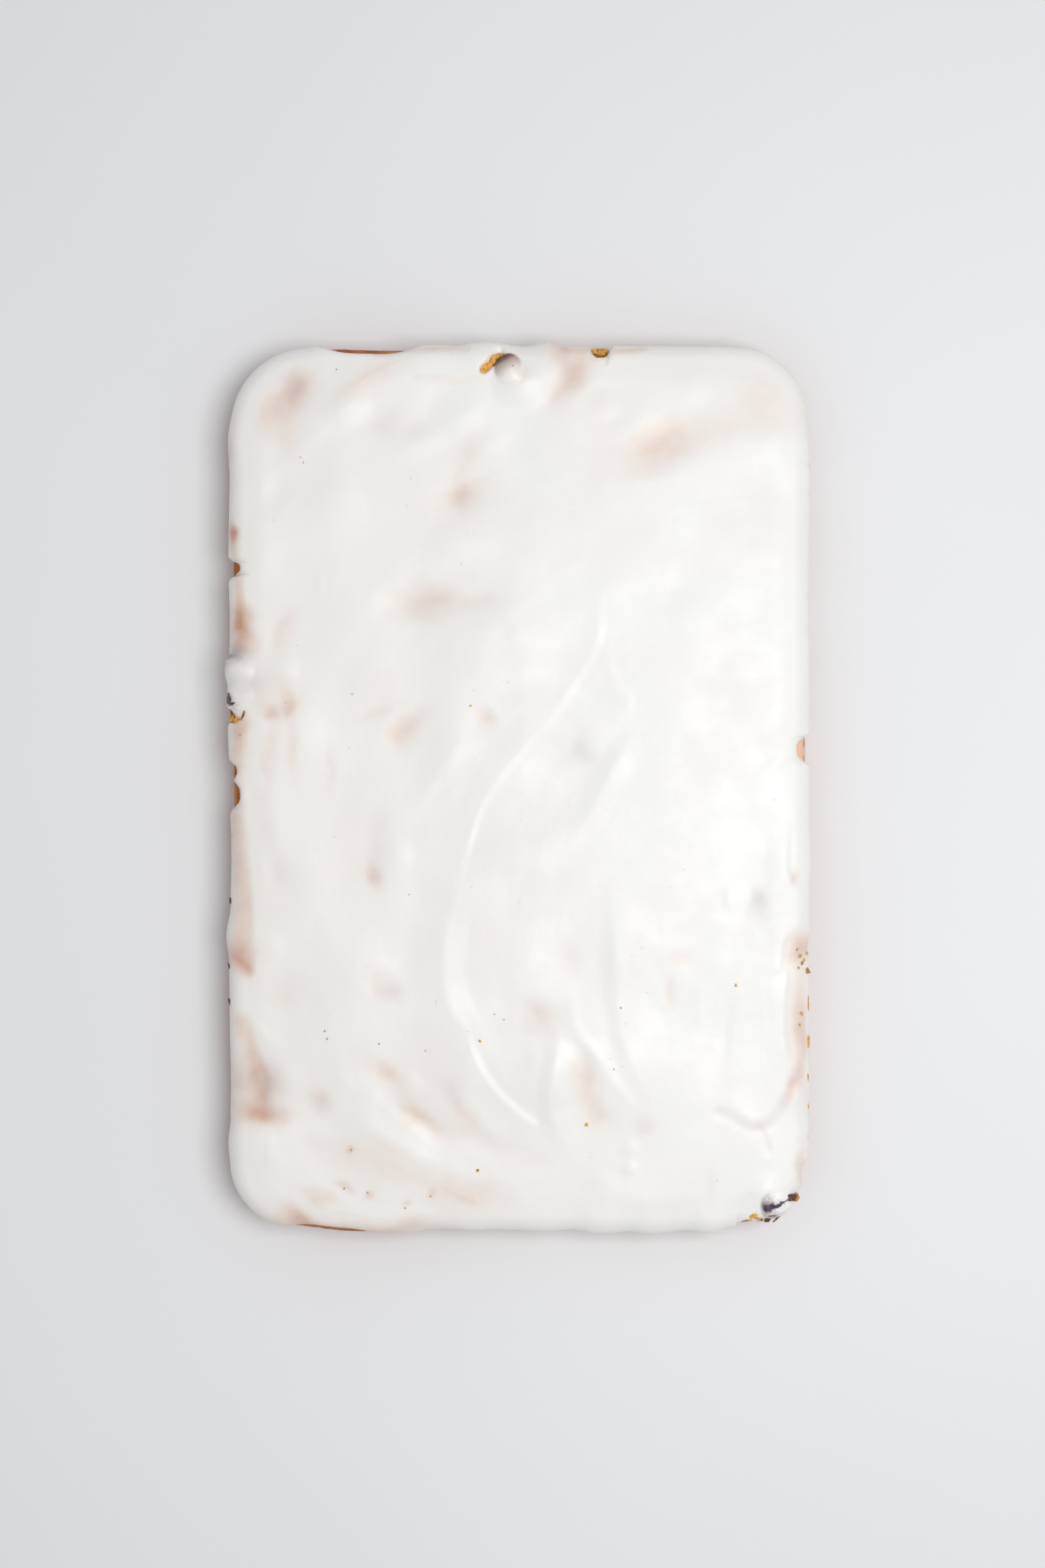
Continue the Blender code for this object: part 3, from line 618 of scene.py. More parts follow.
def on_cake(places, lift):
    """Points a given height off the slab's skin, for places on the unrolled sheet."""
    foot, out, beyond = nearest_outline(places)
    turn = np.clip(beyond, 0.0, SHOULDER_LENGTH) / SHOULDER_RADIUS
    down_wall = np.maximum(beyond - SHOULDER_LENGTH, 0.0)
    side = np.minimum(beyond, 0.0) + SHOULDER_RADIUS * np.sin(turn)
    side += down_wall * math.cos(FULL_TURN)
    drop = SHOULDER_RADIUS * (1.0 - np.cos(turn)) + down_wall * math.sin(FULL_TURN)
    side += outline_wander(foot) * smooth_step(-WANDER_DEPTH, 0.0, beyond)
    plan = foot + out * (side + lift * np.sin(turn))[:, None]
    return np.column_stack((plan, CAKE_HEIGHT - drop + lift * np.cos(turn)))


def make_drips():
    """Where icing ran down the side: place on the outline, half width and extra reach."""
    draw = random.Random(DRIP_SEED)
    outline = walk_outline(EDGE_TRACE_POINTS)
    drips = []
    for index in range(DRIP_COUNT):
        share = (index + draw.uniform(0.1, 0.9)) / DRIP_COUNT
        x, y = outline[int(share * EDGE_TRACE_POINTS)]
        half_width = draw.uniform(*DRIP_HALF_WIDTHS)
        drips.append((x / MM, y / MM, half_width, draw.uniform(*DRIP_RUNS)))
    return drips


DRIPS = make_drips()


def icing_reach(foot):
    """How far past the level top's outline the icing runs."""
    change = MM * hills(foot, EDGE_CHANGES, plateau)
    sway = REACH_SWAY * slow_noise(foot, REACH_SCALE, 3.5) + MM * hills(foot, DRIPS, plateau)
    sway *= smooth_step(DRIPLESS_CUT, 0.0, change)
    return np.maximum(USUAL_REACH + change + sway, LEAST_REACH)


def smooth_line(points):
    """Points along a smooth curve through the given ones."""
    knots = np.array(points, float) * MM
    knots = np.vstack((2 * knots[0] - knots[1], knots, 2 * knots[-1] - knots[-2]))
    line = []
    for before, start, end, after in zip(knots, knots[1:], knots[2:], knots[3:]):
        steps = max(round(np.linalg.norm(end - start) / LINE_SPACING), 1)
        t = (np.arange(steps) / steps)[:, None]
        line.append(0.5 * (
            2 * start
            + (end - before) * t
            + (2 * before - 5 * start + 4 * end - after) * t ** 2
            + (3 * start - before - 3 * end + after) * t ** 3
        ))
    line.append(knots[-2:-1])
    return np.vstack(line)


def line_share(places, left_width, right_width, points):
    """Distance from a line, where 1 is its left or right width, and the part walked along it."""
    line = smooth_line(points)
    reach = max(left_width, right_width) * MM
    near = ((places > line.min(axis=0) - reach) & (places < line.max(axis=0) + reach)).all(axis=1)
    share = np.full(len(places), OFF_LINE)
    walked_part = np.zeros(len(places))
    if not near.any():
        return share, walked_part
    starts = line[:-1]
    ways = line[1:] - starts
    lengths = np.linalg.norm(ways, axis=1)
    ways /= lengths[:, None]
    offset = places[near][:, None, :] - starts[None, :, :]
    along = np.clip((offset * ways).sum(axis=2), 0.0, lengths)
    apart = offset - along[:, :, None] * ways
    nearest = np.linalg.norm(apart, axis=2).argmin(axis=1)
    row = np.arange(len(nearest))
    apart = apart[row, nearest]
    way = ways[nearest]
    to_left = way[:, 0] * apart[:, 1] - way[:, 1] * apart[:, 0]
    past_end = (way * apart).sum(axis=1)
    width = np.where(to_left > 0, left_width, right_width) * MM
    walked = np.concatenate(((0.0,), np.cumsum(lengths)))
    share[near] = np.hypot(to_left / width, past_end / (0.5 * (left_width + right_width) * MM))
    walked_part[near] = (walked[nearest] + along[row, nearest]) / walked[-1]
    return share, walked_part


def stroke_lift(places, height, *line):
    """Height that one spatula line adds: steep or gentle by side, fading at its ends."""
    share, walked = line_share(places, *line)
    rise = smooth_step(0.0, STROKE_RISE, np.minimum(walked, 1.0 - walked))
    profile = crest(share) if height > 0 else swell(share)
    return height * MM * profile * (STROKE_END + (1.0 - STROKE_END) * rise)


def oval_share(places, x, y, half_length, half_width, turn):
    """Distance from an oval's centre, where 1 is its rim."""
    offset = places - np.array((x, y)) * MM
    c, s = math.cos(math.radians(turn)), math.sin(math.radians(turn))
    along = (offset @ np.array((c, s))) / (half_length * MM)
    across = (offset @ np.array((-s, c))) / (half_width * MM)
    return np.hypot(along, across)


def sweep_streaks(places):
    """Faint streaks that the spatula left as it swept round one far point."""
    offset = places - SWEEP_CENTRE
    away = np.linalg.norm(offset, axis=1)
    along = np.arctan2(offset[:, 1], offset[:, 0]) * away.mean()
    lift = np.zeros(len(places))
    for layer, (height, across_scale, along_scale) in enumerate(SWEEP_STREAKS):
        sheet = np.column_stack((away / (across_scale * MM), along / (along_scale * MM)))
        lift += height * MM * slow_noise(sheet, 1.0, 20.5 + layer)
    return lift


def edge_depth(places):
    """Depth of the icing's even layer, how far each place is over the edge, and its bead."""
    foot, out, beyond = nearest_outline(places)
    over_edge = smooth_step(SIDE_START, SHOULDER_LENGTH, beyond)
    side = SIDE_DEPTH + MM * hills(foot, EDGE_BULGES, swell)
    along = np.stack((-out[:, 1], out[:, 0]), axis=1) * SLOPE_STEP
    slope = (icing_reach(foot + along) - icing_reach(foot - along)) / (2 * SLOPE_STEP)
    from_edge = (icing_reach(foot) - beyond) / np.hypot(1.0, slope)
    inward = np.clip(from_edge / BEAD_WIDTH, 0.0, 1.0)
    bead = np.sqrt(1.0 - (1.0 - inward) ** 2)
    return TOP_DEPTH + (side - TOP_DEPTH) * over_edge, over_edge, bead


def icing_depth(places):
    """Depth of the icing, with all its waves, spatula lines, mounds and thin places."""
    left_share, right_share = RIPPLE_SHARES
    rippled = left_share + (right_share - left_share) * smooth_step(*RIPPLE_CHANGE, places[:, 0])
    relief = SLOW_SWELL * slow_noise(places, SLOW_SCALE, 8.5) + sweep_streaks(places)
    relief += rippled * MM * layered_noise(places, RIPPLES, 11.5)
    relief += MM * hills(places, MOUNDS, swell)
    for stroke in STROKES:
        relief += stroke_lift(places, *stroke)
    for *oval, _, loss in THIN_PLACES_AND_SHADE:
        relief -= THIN_LOSS * loss * MM * swell(THIN_SPREAD * oval_share(places, *oval))
    for _, loss, *line in THIN_BANDS_AND_SHADE_LINES:
        relief -= loss * MM * swell(line_share(places, *line)[0])
    even, over_edge, bead = edge_depth(places)
    depth = np.maximum(even + relief * (1.0 - SIDE_CALM * over_edge), LEAST_DEPTH)
    for half_width, points in SPLITS:
        split = plateau(line_share(places, half_width, half_width, points)[0])
        depth += (SPLIT_DEPTH - depth) * split
    return depth * bead


def skin_normals(places):
    """The way straight out of the slab's skin."""
    _, out, beyond = nearest_outline(places)
    turn = np.clip(beyond, 0.0, SHOULDER_LENGTH) / SHOULDER_RADIUS
    return np.column_stack((out * np.sin(turn)[:, None], np.cos(turn)))


def dome_lift(start, normal, reach):
    """How far along the normal a ball's surface lies, or -1 where the normal misses the ball."""
    along = (start * normal).sum(axis=1)
    inside = along ** 2 - (start ** 2).sum(axis=1) + reach ** 2
    return np.where(inside > 0, np.sqrt(np.maximum(inside, 0.0)) - along, -1.0)


def over_berries(places, lift):
    """Lifts the icing's surface over the berries; also gives how strongly each kind shows."""
    spots = on_cake(places, 0.0)
    normals = skin_normals(places)
    shown = np.zeros((len(places), 2))
    cracks = np.zeros(len(places))
    ragged = 1.0 + layered_noise(places, RAGGED, 41.5)
    for half_width, depth, points in FILM_CRACKS:
        share = line_share(places, half_width, half_width, points)[0]
        cracks += depth * MM * swell(share * ragged)
    for name, (x, y, z, radius) in BERRIES.items():
        middle, gain, rim, veil, way, brown, blue = BERRY_FILMS[name]
        heading = np.array((math.cos(math.radians(way)), math.sin(math.radians(way))))
        away = spots - np.array((x, y, z)) * MM
        near = np.linalg.norm(away, axis=1) < NEAR_BERRY * radius * MM
        start, normal, start_lift = away[near], normals[near], lift[near]
        surface = start + normal * start_lift[:, None]
        towards = np.clip((surface[:, :2] @ heading) / (radius * MM), -1.0, 1.0)
        film = (middle + gain * towards) * MM
        film *= 1.0 + CRUMPLE * slow_noise(places[near], CRUMPLE_SCALE, 40.5)
        film = np.maximum(film - cracks[near], BARE)
        dome = dome_lift(start, normal, radius * MM + film)
        fillet = FILLET * (1.0 + FILLET_GAIN * np.maximum(towards + FILLET_START, 0.0))
        blend = np.maximum(fillet - np.abs(dome - start_lift), 0.0) / fillet
        rounding = np.where(film > 0, fillet * blend ** 2 / 4, 0.0)
        # Beyond the film's own depth this is colour only: more hiding away from the rim and towards
        # the window, partly painted shade on the berry's side away from the light.
        hidden = np.maximum(film, 0.0) + rim * MM * smooth_step(*SHADED_RIM_BAND, towards)
        hidden += veil * MM * np.maximum(towards - LIT_SIDE_VEIL_START, 0.0) ** 2
        seen = smooth_step(*OVER_BAND, dome - start_lift) * np.exp(-hidden / BERRY_FADE)
        shown[near] = np.maximum(shown[near], seen[:, None] * np.array((brown, blue)))
        lift[near] = np.maximum(dome, start_lift) + rounding
    return lift, shown


def show_through(places):
    """How strongly crumb and sunk berries show through the icing, with painted shade in the same
    masks: a darkening towards the lower left, broad dark places and valley lines.
    """
    stray = np.zeros(places.shape)
    for distance, scale, layer in STRAY:
        for axis in (0, 1):
            stray[:, axis] += distance * MM * slow_noise(places, scale * MM, layer + axis)
    strayed = places + stray
    berry = hills(strayed, SUNK_BERRIES_AND_SHADE, berry_shade)
    crumb = np.zeros(len(places))
    for *oval, strength, _ in THIN_PLACES_AND_SHADE:
        crumb += strength * np.exp(-CRUMB_FALL * oval_share(strayed, *oval) ** 2)
    strayed = places + BAND_STRAY * stray
    for strength, _, *line in THIN_BANDS_AND_SHADE_LINES:
        crumb += strength * swell(line_share(strayed, *line)[0])
    uneven = 1.0 + UNEVEN * slow_noise(places, UNEVEN_SCALE, 33.5)
    clouds = CLOUDS * np.maximum(slow_noise(places, CLOUD_SCALE, 36.5), 0.0)
    # Painted shade: darker towards the lower left, away from the window.
    falloff_shade = FALLOFF_SHADE * smooth_step(*FALLOFF_SHADE_CHANGE, places @ FALLOFF_SHADE_WAY)
    return crumb * uneven + falloff_shade + clouds, berry * uneven


# ---------------------------------------------------------------- meshes


def add_object(name, data):
    """A new object in the scene."""
    thing = bpy.data.objects.new(name, data)
    bpy.context.collection.objects.link(thing)
    return thing


def add_mesh(name, points, faces, material):
    """A new mesh object of one material."""
    mesh = bpy.data.meshes.new(name)
    mesh.from_pydata(points, [], faces)
    mesh.materials.append(material)
    return add_object(name, mesh)


def make_piece(name, points, faces, material, slot, *nodes):
    """A smooth-shaded mesh piece on the cake's body, standing for the given solids."""
    piece = add_mesh(name, points, faces, material)
    piece.data.shade_smooth()
    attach(piece, "root")
    if nodes:
        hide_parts(*nodes)
    return piece


def set_masks(piece, name, *columns):
    """Stores masks, one value a point, in the channels of one colour attribute."""
    mesh = piece.data
    values = np.zeros((len(mesh.vertices), 4))
    values[:, 3] = 1.0
    for channel, column in enumerate(columns):
        values[:, channel] = column
    attribute = mesh.color_attributes.new(name, "FLOAT_COLOR", "POINT")
    attribute.data.foreach_set("color", values.ravel())


def grid_lines(half_size, fine_bands):
    """Cell borders from one end to the other, finer in the given bands and near both ends."""
    half = half_size / MM
    lines = [-half]
    while lines[-1] < half:
        here = lines[-1]
        cell = EDGE_CELL if half - abs(here) < EDGE_BAND else USUAL_CELL
        for start, end, fine_cell in fine_bands:
            if start <= here <= end:
                cell = min(cell, fine_cell)
        lines.append(here + cell)
    lines = np.array(lines)
    return (lines + half) * (2 * half / (lines[-1] + half)) * MM - half_size


def round_corners(places, half, corner):
    """Moves places of a rectangle so that its square corners become round ones."""
    local = (np.abs(places) - (half - corner)) / corner
    in_corner = (local > 0).all(axis=1)
    bent = local * np.sqrt(np.maximum(1.0 - local[:, ::-1] ** 2 / 2, 0.0))
    moved = np.copysign(bent * corner + (half - corner), places)
    return np.where(in_corner[:, None], moved, places)


def quads(*corners):
    """Faces from four arrays of point indices, one for each corner."""
    return np.stack(corners, axis=-1).reshape(-1, 4).tolist()


def make_icing(material):
    """The icing's outer skin with a lip turned under all round its edge."""
    half = TOP_HALF + USUAL_REACH
    columns = grid_lines(half[0], FINE_COLUMNS)
    rows = grid_lines(half[1], FINE_ROWS)
    places = np.stack([axis.ravel() for axis in np.meshgrid(columns, rows)], axis=1)
    places = round_corners(places, half, TOP_CORNER + USUAL_REACH)
    foot, out, beyond = nearest_outline(places)
    pull = smooth_step(USUAL_REACH - REACH_BAND, USUAL_REACH, beyond)
    places = places + out * ((icing_reach(foot) - USUAL_REACH) * pull)[:, None]
    depth = icing_depth(places)
    lift, berry_seen = over_berries(places, GAP + depth)
    points = on_cake(places, lift)
    grid = np.arange(len(places)).reshape(len(rows), len(columns))
    rim = np.concatenate((grid[0], grid[1:, -1], grid[-1, -2::-1], grid[-2:0:-1, 0]))
    lip = on_cake(places[rim] - out[rim] * BEAD_WIDTH, GAP)
    lip_index = len(points) + np.arange(len(rim))
    faces = quads(grid[:-1, :-1], grid[:-1, 1:], grid[1:, 1:], grid[1:, :-1])
    faces += quads(rim, lip_index, np.roll(lip_index, -1), np.roll(rim, -1))
    crumb, berry = show_through(places)
    crumb += THIN_SHOW * np.exp(-depth / THIN_FADE) + SEEN_STRENGTH * berry_seen[:, 0]
    berry += SEEN_STRENGTH * berry_seen[:, 1]
    points = np.vstack((points, lip)).tolist()
    piece = make_piece("icing_coat", points, faces, material, "icing", "icing")
    set_masks(piece, "show_through", np.append(crumb, crumb[rim]), np.append(berry, berry[rim]))


def make_crust(material):
    """The slab's baked skin, with the fine relief of its crust."""
    foot, out, _ = nearest_outline(walk_outline(CRUST_POINTS_ROUND))
    wall_height = CAKE_HEIGHT - SHOULDER_RADIUS * (1.0 - math.cos(FULL_TURN)) - BASE_ROUNDING
    skin_length = SHOULDER_LENGTH + wall_height / math.sin(FULL_TURN)
    loops = []
    for row in range(CRUST_ROWS + 1):
        places = foot + out * (skin_length * row / CRUST_ROWS)
        rough = np.zeros(CRUST_POINTS_ROUND)
        for index, spot in enumerate(on_cake(places, 0.0)):
            for height, scale in CRUST_RELIEF:
                rough[index] -= height * MM * abs(noise.noise(Vector(spot) / (scale * MM)))
        loops.append(on_cake(places, rough))
    base = loops[-1].copy()
    base[:, :2] -= out * BASE_ROUNDING
    base[:, 2] = 0.0
    loops.append(base)
    grid = np.arange(len(loops) * CRUST_POINTS_ROUND).reshape(len(loops), -1)
    after = np.roll(grid, -1, axis=1)
    faces = quads(grid[:-1], grid[1:], after[1:], after[:-1])
    faces += [grid[0].tolist(), grid[-1, ::-1].tolist()]
    piece = make_piece("baked_slab", np.vstack(loops).tolist(), faces, material, "crust", "cake")
    film = hills(foot, FILMED_CRUST, plateau)
    run_down = FILM_RUN * (1.0 + FILM_UNEVEN * slow_noise(foot, FILM_SCALE, 51.5))
    depths = np.linspace(0.0, skin_length, len(loops))
    fades = [film * smooth_step(*FILM_FADE, depth / run_down) for depth in depths]
    set_masks(piece, "sugar_film", np.concatenate(fades))


def finished_shape(build):
    """Points and faces of a shape that is built, which is then let go."""
    points = np.array([tuple(vertex.co) for vertex in build.verts])
    faces = [[vertex.index for vertex in face.verts] for face in build.faces]
    build.free()
    return points, faces


def make_berry(name, material):
    """A slightly wrinkled berry."""
    x, y, z, radius = BERRIES[name]
    build = bmesh.new()
    bmesh.ops.create_uvsphere(
        build, u_segments=BERRY_SEGMENTS, v_segments=BERRY_RINGS, radius=radius * MM,
    )
    for vertex in build.verts:
        wrinkle = noise.noise(vertex.co / BERRY_WRINKLE_SCALE + Vector((x, y, 0)))
        vertex.co *= 1.0 - BERRY_WRINKLE * abs(wrinkle)
    build.transform(Matrix.Translation((x * MM, y * MM, z * MM)))
    points, faces = finished_shape(build)
    make_piece(name + "_skin", points.tolist(), faces, material, "berry", name)


def rough_lump(half_sizes, turn, seed, fineness, roughness):
    """Points and faces of one lump about its own middle."""
    build = bmesh.new()
    bmesh.ops.create_icosphere(build, subdivisions=fineness, radius=1.0)
    for vertex in build.verts:
        coarse = noise.noise(vertex.co * LUMP_COARSE + seed * LUMP_SHIFT)
        fine = noise.noise(vertex.co * LUMP_FINE + seed * LUMP_SHIFT)
        vertex.co *= 1.0 + roughness * (coarse - 0.5 * abs(fine))
    size = Matrix.Diagonal((*(value * MM for value in half_sizes), 1.0))
    build.transform(Matrix.Rotation(math.radians(turn), 4, "Z") @ size)
    return finished_shape(build)


def make_lumps(name, lumps, middles, material, slot, brown=()):
    """Many lumps as one piece, each moved to its middle, with a mask of how brown each is."""
    points = []
    faces = []
    first = 0
    for (lump_points, lump_faces), middle in zip(lumps, middles):
        points.append(lump_points + middle)
        faces += [[first + index for index in face] for face in lump_faces]
        first += len(lump_points)
    piece = make_piece(name, np.vstack(points).tolist(), faces, material, slot)
    if len(brown):
        set_masks(piece, "brownness", np.repeat(brown, [len(part) for part in points]))


def icing_tops(places, height=0.0):
    """Points on the icing's surface, or a given height over it."""
    lift, _ = over_berries(places, GAP + icing_depth(places))
    return on_cake(places, lift + height)


def make_torn_crumb(material):
    """The torn crumb in the icing's splits and along its edge, in one piece."""
    rows = np.array(CRUMB_LUMPS)
    middles = icing_tops(rows[:, :2] * MM, rows[:, 2] * MM)
    lumps = [rough_lump(row[3:6], row[6], seed, *TORN_LUMP) for seed, row in enumerate(rows)]
    make_lumps("torn_crumb", lumps, middles, material, "crust", rows[:, 7])


def make_loose_crumbs(material):
    """Crumbs that fell on the icing while it was soft, in one piece."""
    rows = np.array(LOOSE_CRUMBS)
    lumps = []
    for seed, size in enumerate(rows[:, 2]):
        lumps.append(rough_lump(size / 2 * LOOSE_SHAPE, LOOSE_TURN * seed, seed, *LOOSE_LUMP))
    brown = np.resize(LOOSE_BROWN, len(rows))
    middles = icing_tops(rows[:, :2] * MM)
    make_lumps("loose_crumbs", lumps, middles, material, "crust", brown)


def make_zest(material):
    """Flecks of zest, half sunk in the icing, in one piece."""
    draw = random.Random(ZEST_SEED)
    places = []
    while len(places) < ZEST_COUNT:
        place = np.array((draw.uniform(-1, 1), draw.uniform(-1, 1))) * (TOP_HALF - ZEST_MARGIN)
        if draw.random() < ZEST_SHARE + ZEST_LEAN @ (place / TOP_HALF):
            places.append(place)
    lumps = []
    for _ in places:
        length = draw.uniform(*ZEST_LENGTHS)
        seed = draw.uniform(0, 50)
        width = draw.uniform(*ZEST_WIDTHS)
        turn = draw.uniform(0, 180)
        lumps.append(rough_lump((length, width, ZEST_HEIGHT), turn, seed, *ZEST_LUMP))
    middles = icing_tops(np.array(places)) - ZEST_SUNK
    make_lumps("zest_flecks", lumps, middles, material, "icing")


# ---------------------------------------------------------------- materials

# A colour mix's sockets by number, as its other kinds have sockets of the same names.
MIX_SHARE = 0
MIX_FIRST = 6
MIX_SECOND = 7
MIX_RESULT = 2


def feed(tree, socket, value):
    """Puts another node's output, or a plain value, into a socket."""
    if isinstance(value, bpy.types.NodeSocket):
        tree.links.new(value, socket)
    elif socket.type == "RGBA":
        socket.default_value = (*value, 1.0)
    else:
        socket.default_value = value


def add_node(tree, kind, feeds=None, **settings):
    """A shader node: its kind, what goes into its inputs by name or number, its properties."""
    node = tree.nodes.new("ShaderNode" + kind)
    for name, value in settings.items():
        setattr(node, name, value)
    for name, value in (feeds or {}).items():
        feed(tree, node.inputs[name], value)
    return node


def new_group(name, inputs, outputs):
    """An empty node group: its tree, what comes into it, and what goes out, by name."""
    tree = bpy.data.node_groups.new(name, "ShaderNodeTree")
    kinds = {True: "NodeSocketColor", False: "NodeSocketFloat"}
    for label, value in inputs.items():
        kind = kinds[isinstance(value, tuple)]
        tree.interface.new_socket(label, in_out="INPUT", socket_type=kind).default_value = value
    for label in outputs:
        tree.interface.new_socket(label, in_out="OUTPUT", socket_type=kinds[label == "Color"])
    return tree, tree.nodes.new("NodeGroupInput").outputs, tree.nodes.new("NodeGroupOutput").inputs


def soft_spots_group():
    """Blurred spots of one size: a mask from 0 to 1."""
    inputs = {"Scale": 100.0, "Detail": 2.0, "Low": 0.4, "High": 0.6}
    tree, given, result = new_group("soft_spots", inputs, ("Mask",))
    place = add_node(tree, "TexCoord").outputs["Object"]
    feeds = {"Vector": place, "Scale": given["Scale"], "Detail": given["Detail"]}
    cloud = add_node(tree, "TexNoise", feeds).outputs["Fac"]
    feeds = {"Value": cloud, "From Min": given["Low"], "From Max": given["High"]}
    spread = add_node(tree, "MapRange", feeds, interpolation_type="SMOOTHSTEP")
    feed(tree, result["Mask"], spread.outputs["Result"])
    return tree


def pores_group():
    """Small round pores: a mask that is 1 in a pore, and the surface's height round them."""
    tree, given, result = new_group("pores", {"Scale": 600.0, "Size": 0.35}, ("Mask", "Height"))
    place = add_node(tree, "TexCoord").outputs["Object"]
    feeds = {"Vector": place, "Scale": given["Scale"]}
    cells = add_node(tree, "TexVoronoi", feeds, feature="SMOOTH_F1").outputs["Distance"]
    feeds = {"Value": cells, "From Max": given["Size"]}
    wall = add_node(tree, "MapRange", feeds, interpolation_type="SMOOTHSTEP")
    height = wall.outputs["Result"]
    hollow = add_node(tree, "Math", {0: 1.0, 1: height}, operation="SUBTRACT")
    feed(tree, result["Height"], height)
    feed(tree, result["Mask"], hollow.outputs[0])
    return tree


def under_icing_group():
    """The colour of white icing over crumb and berries that show through it, darkened also where
    shade is painted into those masks.
    """
    inputs = {"Icing": (*ICING_WHITE, 1.0), "Crumb": 0.0, "Berry": 0.0}
    tree, given, result = new_group("under_icing", inputs, ("Color",))
    colour = given["Icing"]
    for label, tint in (("Crumb", CRUMB_TINT), ("Berry", BERRY_TINT)):
        fade = add_node(tree, "VectorMath", {0: tint, 1: given[label]}, operation="POWER")
        feeds = {0: colour, 1: fade.outputs[0]}
        colour = add_node(tree, "VectorMath", feeds, operation="MULTIPLY").outputs[0]
    feed(tree, result["Color"], colour)
    return tree


def new_material(name, roughness):
    """An empty material, its tree and its shader."""
    material = bpy.data.materials.new(name)
    material.use_nodes = True
    shader = material.node_tree.nodes["Principled BSDF"]
    shader.inputs["Roughness"].default_value = roughness
    return material, material.node_tree, shader


def place_group(tree, group, **values):
    """The outputs of one use of a node group, with its own values."""
    return add_node(tree, "Group", values, node_tree=group).outputs


def masks_of(tree, attribute):
    """The separate channels of a colour attribute."""
    reader = add_node(tree, "Attribute", attribute_name=attribute)
    return add_node(tree, "SeparateColor", {0: reader.outputs["Color"]}).outputs


def mix_colours(tree, share, first, second):
    """A mix of two colours, each a plain value or a socket."""
    feeds = {MIX_SHARE: share, MIX_FIRST: first, MIX_SECOND: second}
    return add_node(tree, "Mix", feeds, data_type="RGBA").outputs[MIX_RESULT]


def scale_mask(tree, mask, low, high):
    """A 0 to 1 mask spread between two other values."""
    feeds = {"Value": mask, "To Min": low, "To Max": high}
    return add_node(tree, "MapRange", feeds).outputs["Result"]


def dress(tree, shader, colour, height, depth, rough=None):
    """Sets colour, relief of a depth in metres, and roughness from a mask and its two ends."""
    feeds = {"Height": height, "Distance": depth, "Strength": 1.0}
    relief = add_node(tree, "Bump", feeds)
    feed(tree, shader.inputs["Base Color"], colour)
    feed(tree, shader.inputs["Normal"], relief.outputs["Normal"])
    if rough:
        feed(tree, shader.inputs["Roughness"], scale_mask(tree, *rough))


def icing_material(spots, under_icing):
    """White icing that lets crumb and berries show through where it is thin, and carries painted
    shade in the same masks.
    """
    material, tree, shader = new_material("sugar_icing", 0.4)
    masks = masks_of(tree, "show_through")
    mottle = place_group(tree, spots, Scale=260.0, Detail=2.0, Low=0.2, High=0.8)["Mask"]
    feeds = {0: masks["Red"], 1: scale_mask(tree, mottle, 0.90, 1.10)}
    crumb = add_node(tree, "Math", feeds, operation="MULTIPLY").outputs[0]
    colour = place_group(tree, under_icing, Crumb=crumb, Berry=masks["Green"])["Color"]
    sheen = place_group(tree, spots, Scale=60.0, Detail=3.0, Low=0.3, High=0.7)["Mask"]
    ripple = place_group(tree, spots, Scale=240.0, Detail=1.0, Low=0.1, High=0.9)["Mask"]
    dress(tree, shader, colour, ripple, 0.035 * MM, (sheen, 0.34, 0.46))
    shader.inputs["Subsurface Weight"].default_value = 0.12
    shader.inputs["Subsurface Radius"].default_value = (1.0, 0.9, 0.8)
    shader.inputs["Subsurface Scale"].default_value = 1.5 * MM
    return material


def crust_material(spots, pores):
    """Browned crust with darker pores, filmed with sugar in places."""
    material, tree, shader = new_material("baked_crust", 0.7)
    browning = place_group(tree, spots, Scale=160.0, Detail=4.0, Low=0.32, High=0.68)["Mask"]
    pitted = place_group(tree, pores, Scale=520.0, Size=0.30)
    film = scale_mask(tree, masks_of(tree, "sugar_film")["Red"], 0.0, 0.9)
    colour = mix_colours(tree, browning, CRUST_GOLD, CRUST_BROWN)
    colour = mix_colours(tree, pitted["Mask"], colour, CRUST_PORE)
    colour = mix_colours(tree, film, colour, CRUST_FILM)
    dress(tree, shader, colour, pitted["Height"], 0.25 * MM, (browning, 0.6, 0.8))
    return material


def crumb_material(spots, pores):
    """Torn crumb, from golden to nearly black by its mask."""
    material, tree, shader = new_material("torn_crumb", 0.75)
    brown = masks_of(tree, "brownness")["Red"]
    mottle = place_group(tree, spots, Scale=900.0, Detail=3.0, Low=0.35, High=0.62)["Mask"]
    pitted = place_group(tree, pores, Scale=900.0, Size=0.42)
    plain = mix_colours(tree, brown, CRUMB_GOLD, BURNT)
    light = mix_colours(tree, brown, CRUMB_LIGHT, BURNT_LIGHT)
    dark = mix_colours(tree, brown, CRUMB_PORE, BURNT_PORE)
    colour = mix_colours(tree, mottle, plain, light)
    colour = mix_colours(tree, scale_mask(tree, pitted["Mask"], 0.0, 0.85), colour, dark)
    dress(tree, shader, colour, pitted["Height"], 0.2 * MM, (mottle, 0.6, 0.85))
    return material


def berry_material(spots):
    """Dark berry skin with a pale bloom and reddish places."""
    material, tree, shader = new_material("berry_skin", 0.35)
    bloom = place_group(tree, spots, Scale=380.0, Detail=3.0, Low=0.38, High=0.66)["Mask"]
    red = place_group(tree, spots, Scale=210.0, Detail=1.0, Low=0.55, High=0.75)["Mask"]
    colour = mix_colours(tree, bloom, SKIN_DARK, SKIN_BLOOM)
    colour = mix_colours(tree, scale_mask(tree, red, 0.0, 0.6), colour, SKIN_RED)
    dress(tree, shader, colour, bloom, 0.08 * MM, (bloom, 0.28, 0.55))
    return material


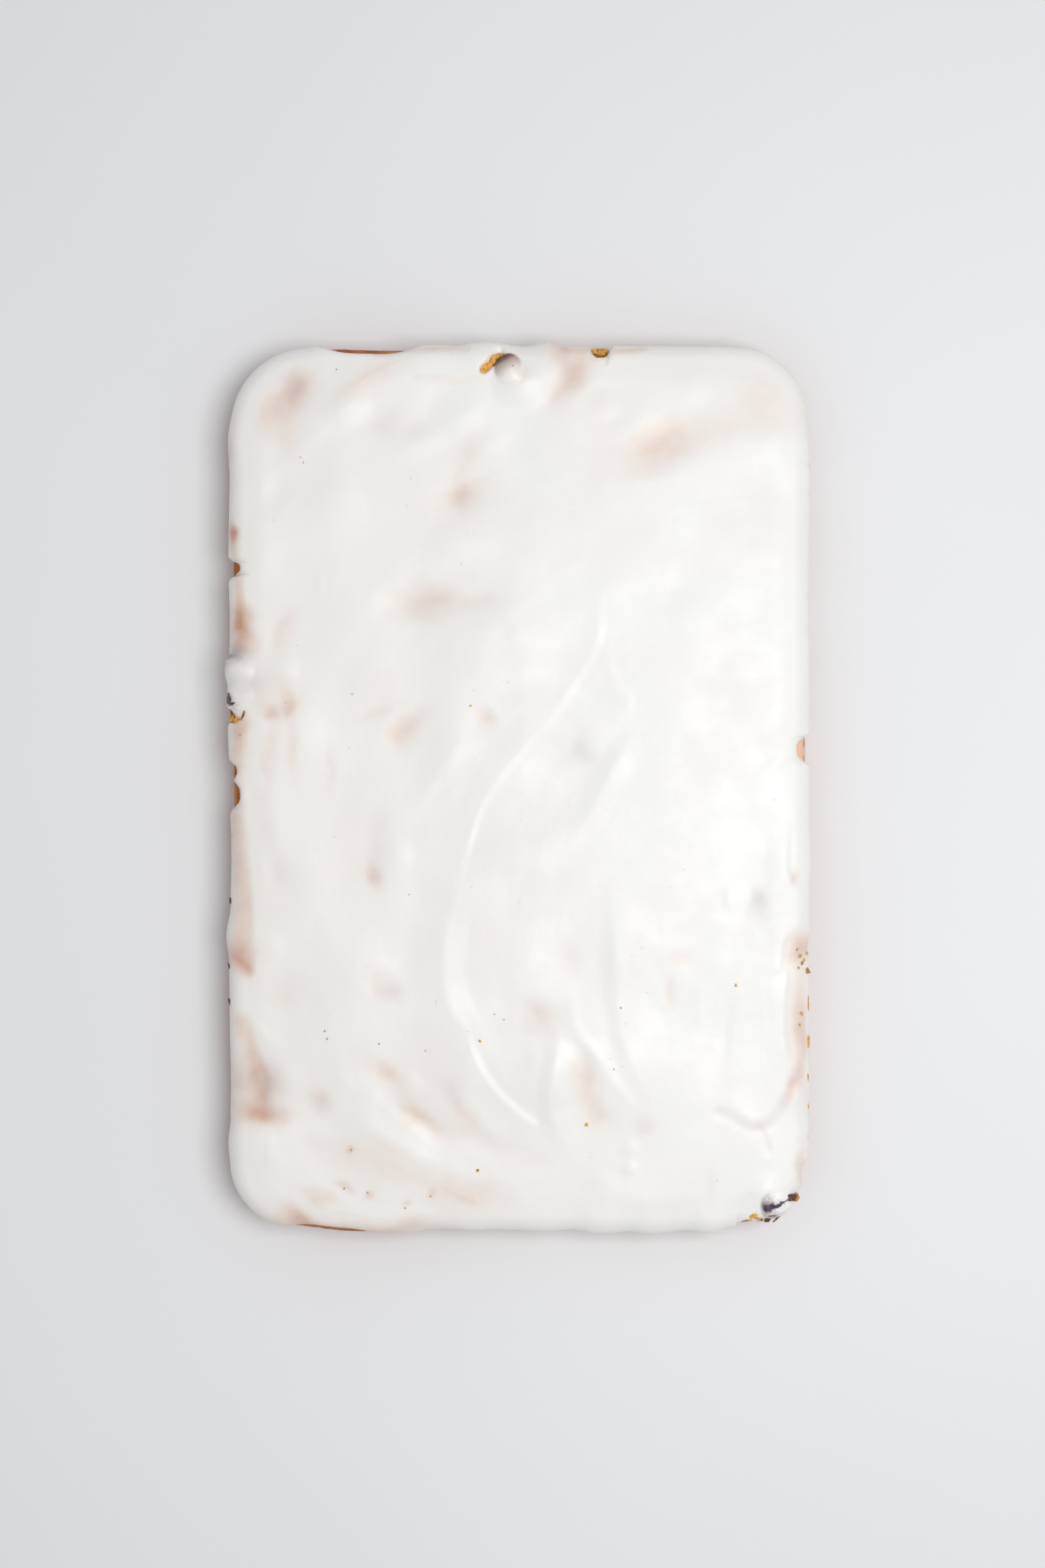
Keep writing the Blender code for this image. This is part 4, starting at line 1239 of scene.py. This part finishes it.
def zest_material(spots):
    """Pale yellow zest."""
    material, tree, shader = new_material("zest", 0.45)
    mottle = place_group(tree, spots, Scale=700.0, Detail=2.0, Low=0.35, High=0.65)["Mask"]
    dress(tree, shader, mix_colours(tree, mottle, *ZEST_COLOURS), mottle, 0.05 * MM)
    return material


def floor_material(spots):
    """A faintly veiled pale floor."""
    material, tree, shader = new_material("pale_floor", 0.6)
    veil = place_group(tree, spots, Scale=3.0, Detail=3.0, Low=0.3, High=0.7)["Mask"]
    feed(tree, shader.inputs["Base Color"], mix_colours(tree, veil, *FLOOR_COLOURS))
    return material


# ---------------------------------------------------------------- stage, light and camera


def make_stage(material):
    """A plain pale floor."""
    corners = ((-1, -1), (1, -1), (1, 1), (-1, 1))
    points = [(x * FLOOR_HALF, y * FLOOR_HALF, 0.0) for x, y in corners]
    floor = add_mesh("floor", points, [(0, 1, 2, 3)], material)


def make_light():
    """The room's even light and one window over the cake's right side."""
    world = bpy.data.worlds.new("soft_room")
    world.use_nodes = True
    room = world.node_tree.nodes["Background"].inputs
    room["Color"].default_value = (*ROOM_COLOUR, 1.0)
    room["Strength"].default_value = ROOM_STRENGTH
    bpy.context.scene.world = world
    lamp = bpy.data.lights.new("window", "AREA")
    lamp.shape = "RECTANGLE"
    lamp.size = WINDOW_SIZE
    lamp.size_y = WINDOW_SIZE
    lamp.energy = WINDOW_ENERGY
    lamp.color = WINDOW_COLOUR
    window = add_object("window", lamp)
    window.location = WINDOW_PLACE
    window.rotation_euler = (-window.location).to_track_quat("-Z", "Y").to_euler()
    window.visible_camera = False


def make_camera():
    """The camera, looking straight down on the cake."""
    lens = bpy.data.cameras.new("camera")
    lens.lens = LENS
    lens.sensor_width = SENSOR_WIDTH
    camera = add_object("camera", lens)
    camera.location = CAMERA_PLACE
    bpy.context.scene.camera = camera


def main():
    """Builds the whole scene."""
    bpy.context.scene.view_settings.view_transform = "Standard"
    spots = soft_spots_group()
    pores = pores_group()
    make_camera()
    make_stage(floor_material(spots))
    make_light()
    make_icing(icing_material(spots, under_icing_group()))
    make_crust(crust_material(spots, pores))
    crumb = crumb_material(spots, pores)
    make_torn_crumb(crumb)
    make_loose_crumbs(crumb)
    make_zest(zest_material(spots))
    skin = berry_material(spots)
    for name in BERRIES:
        make_berry(name, skin)


main()
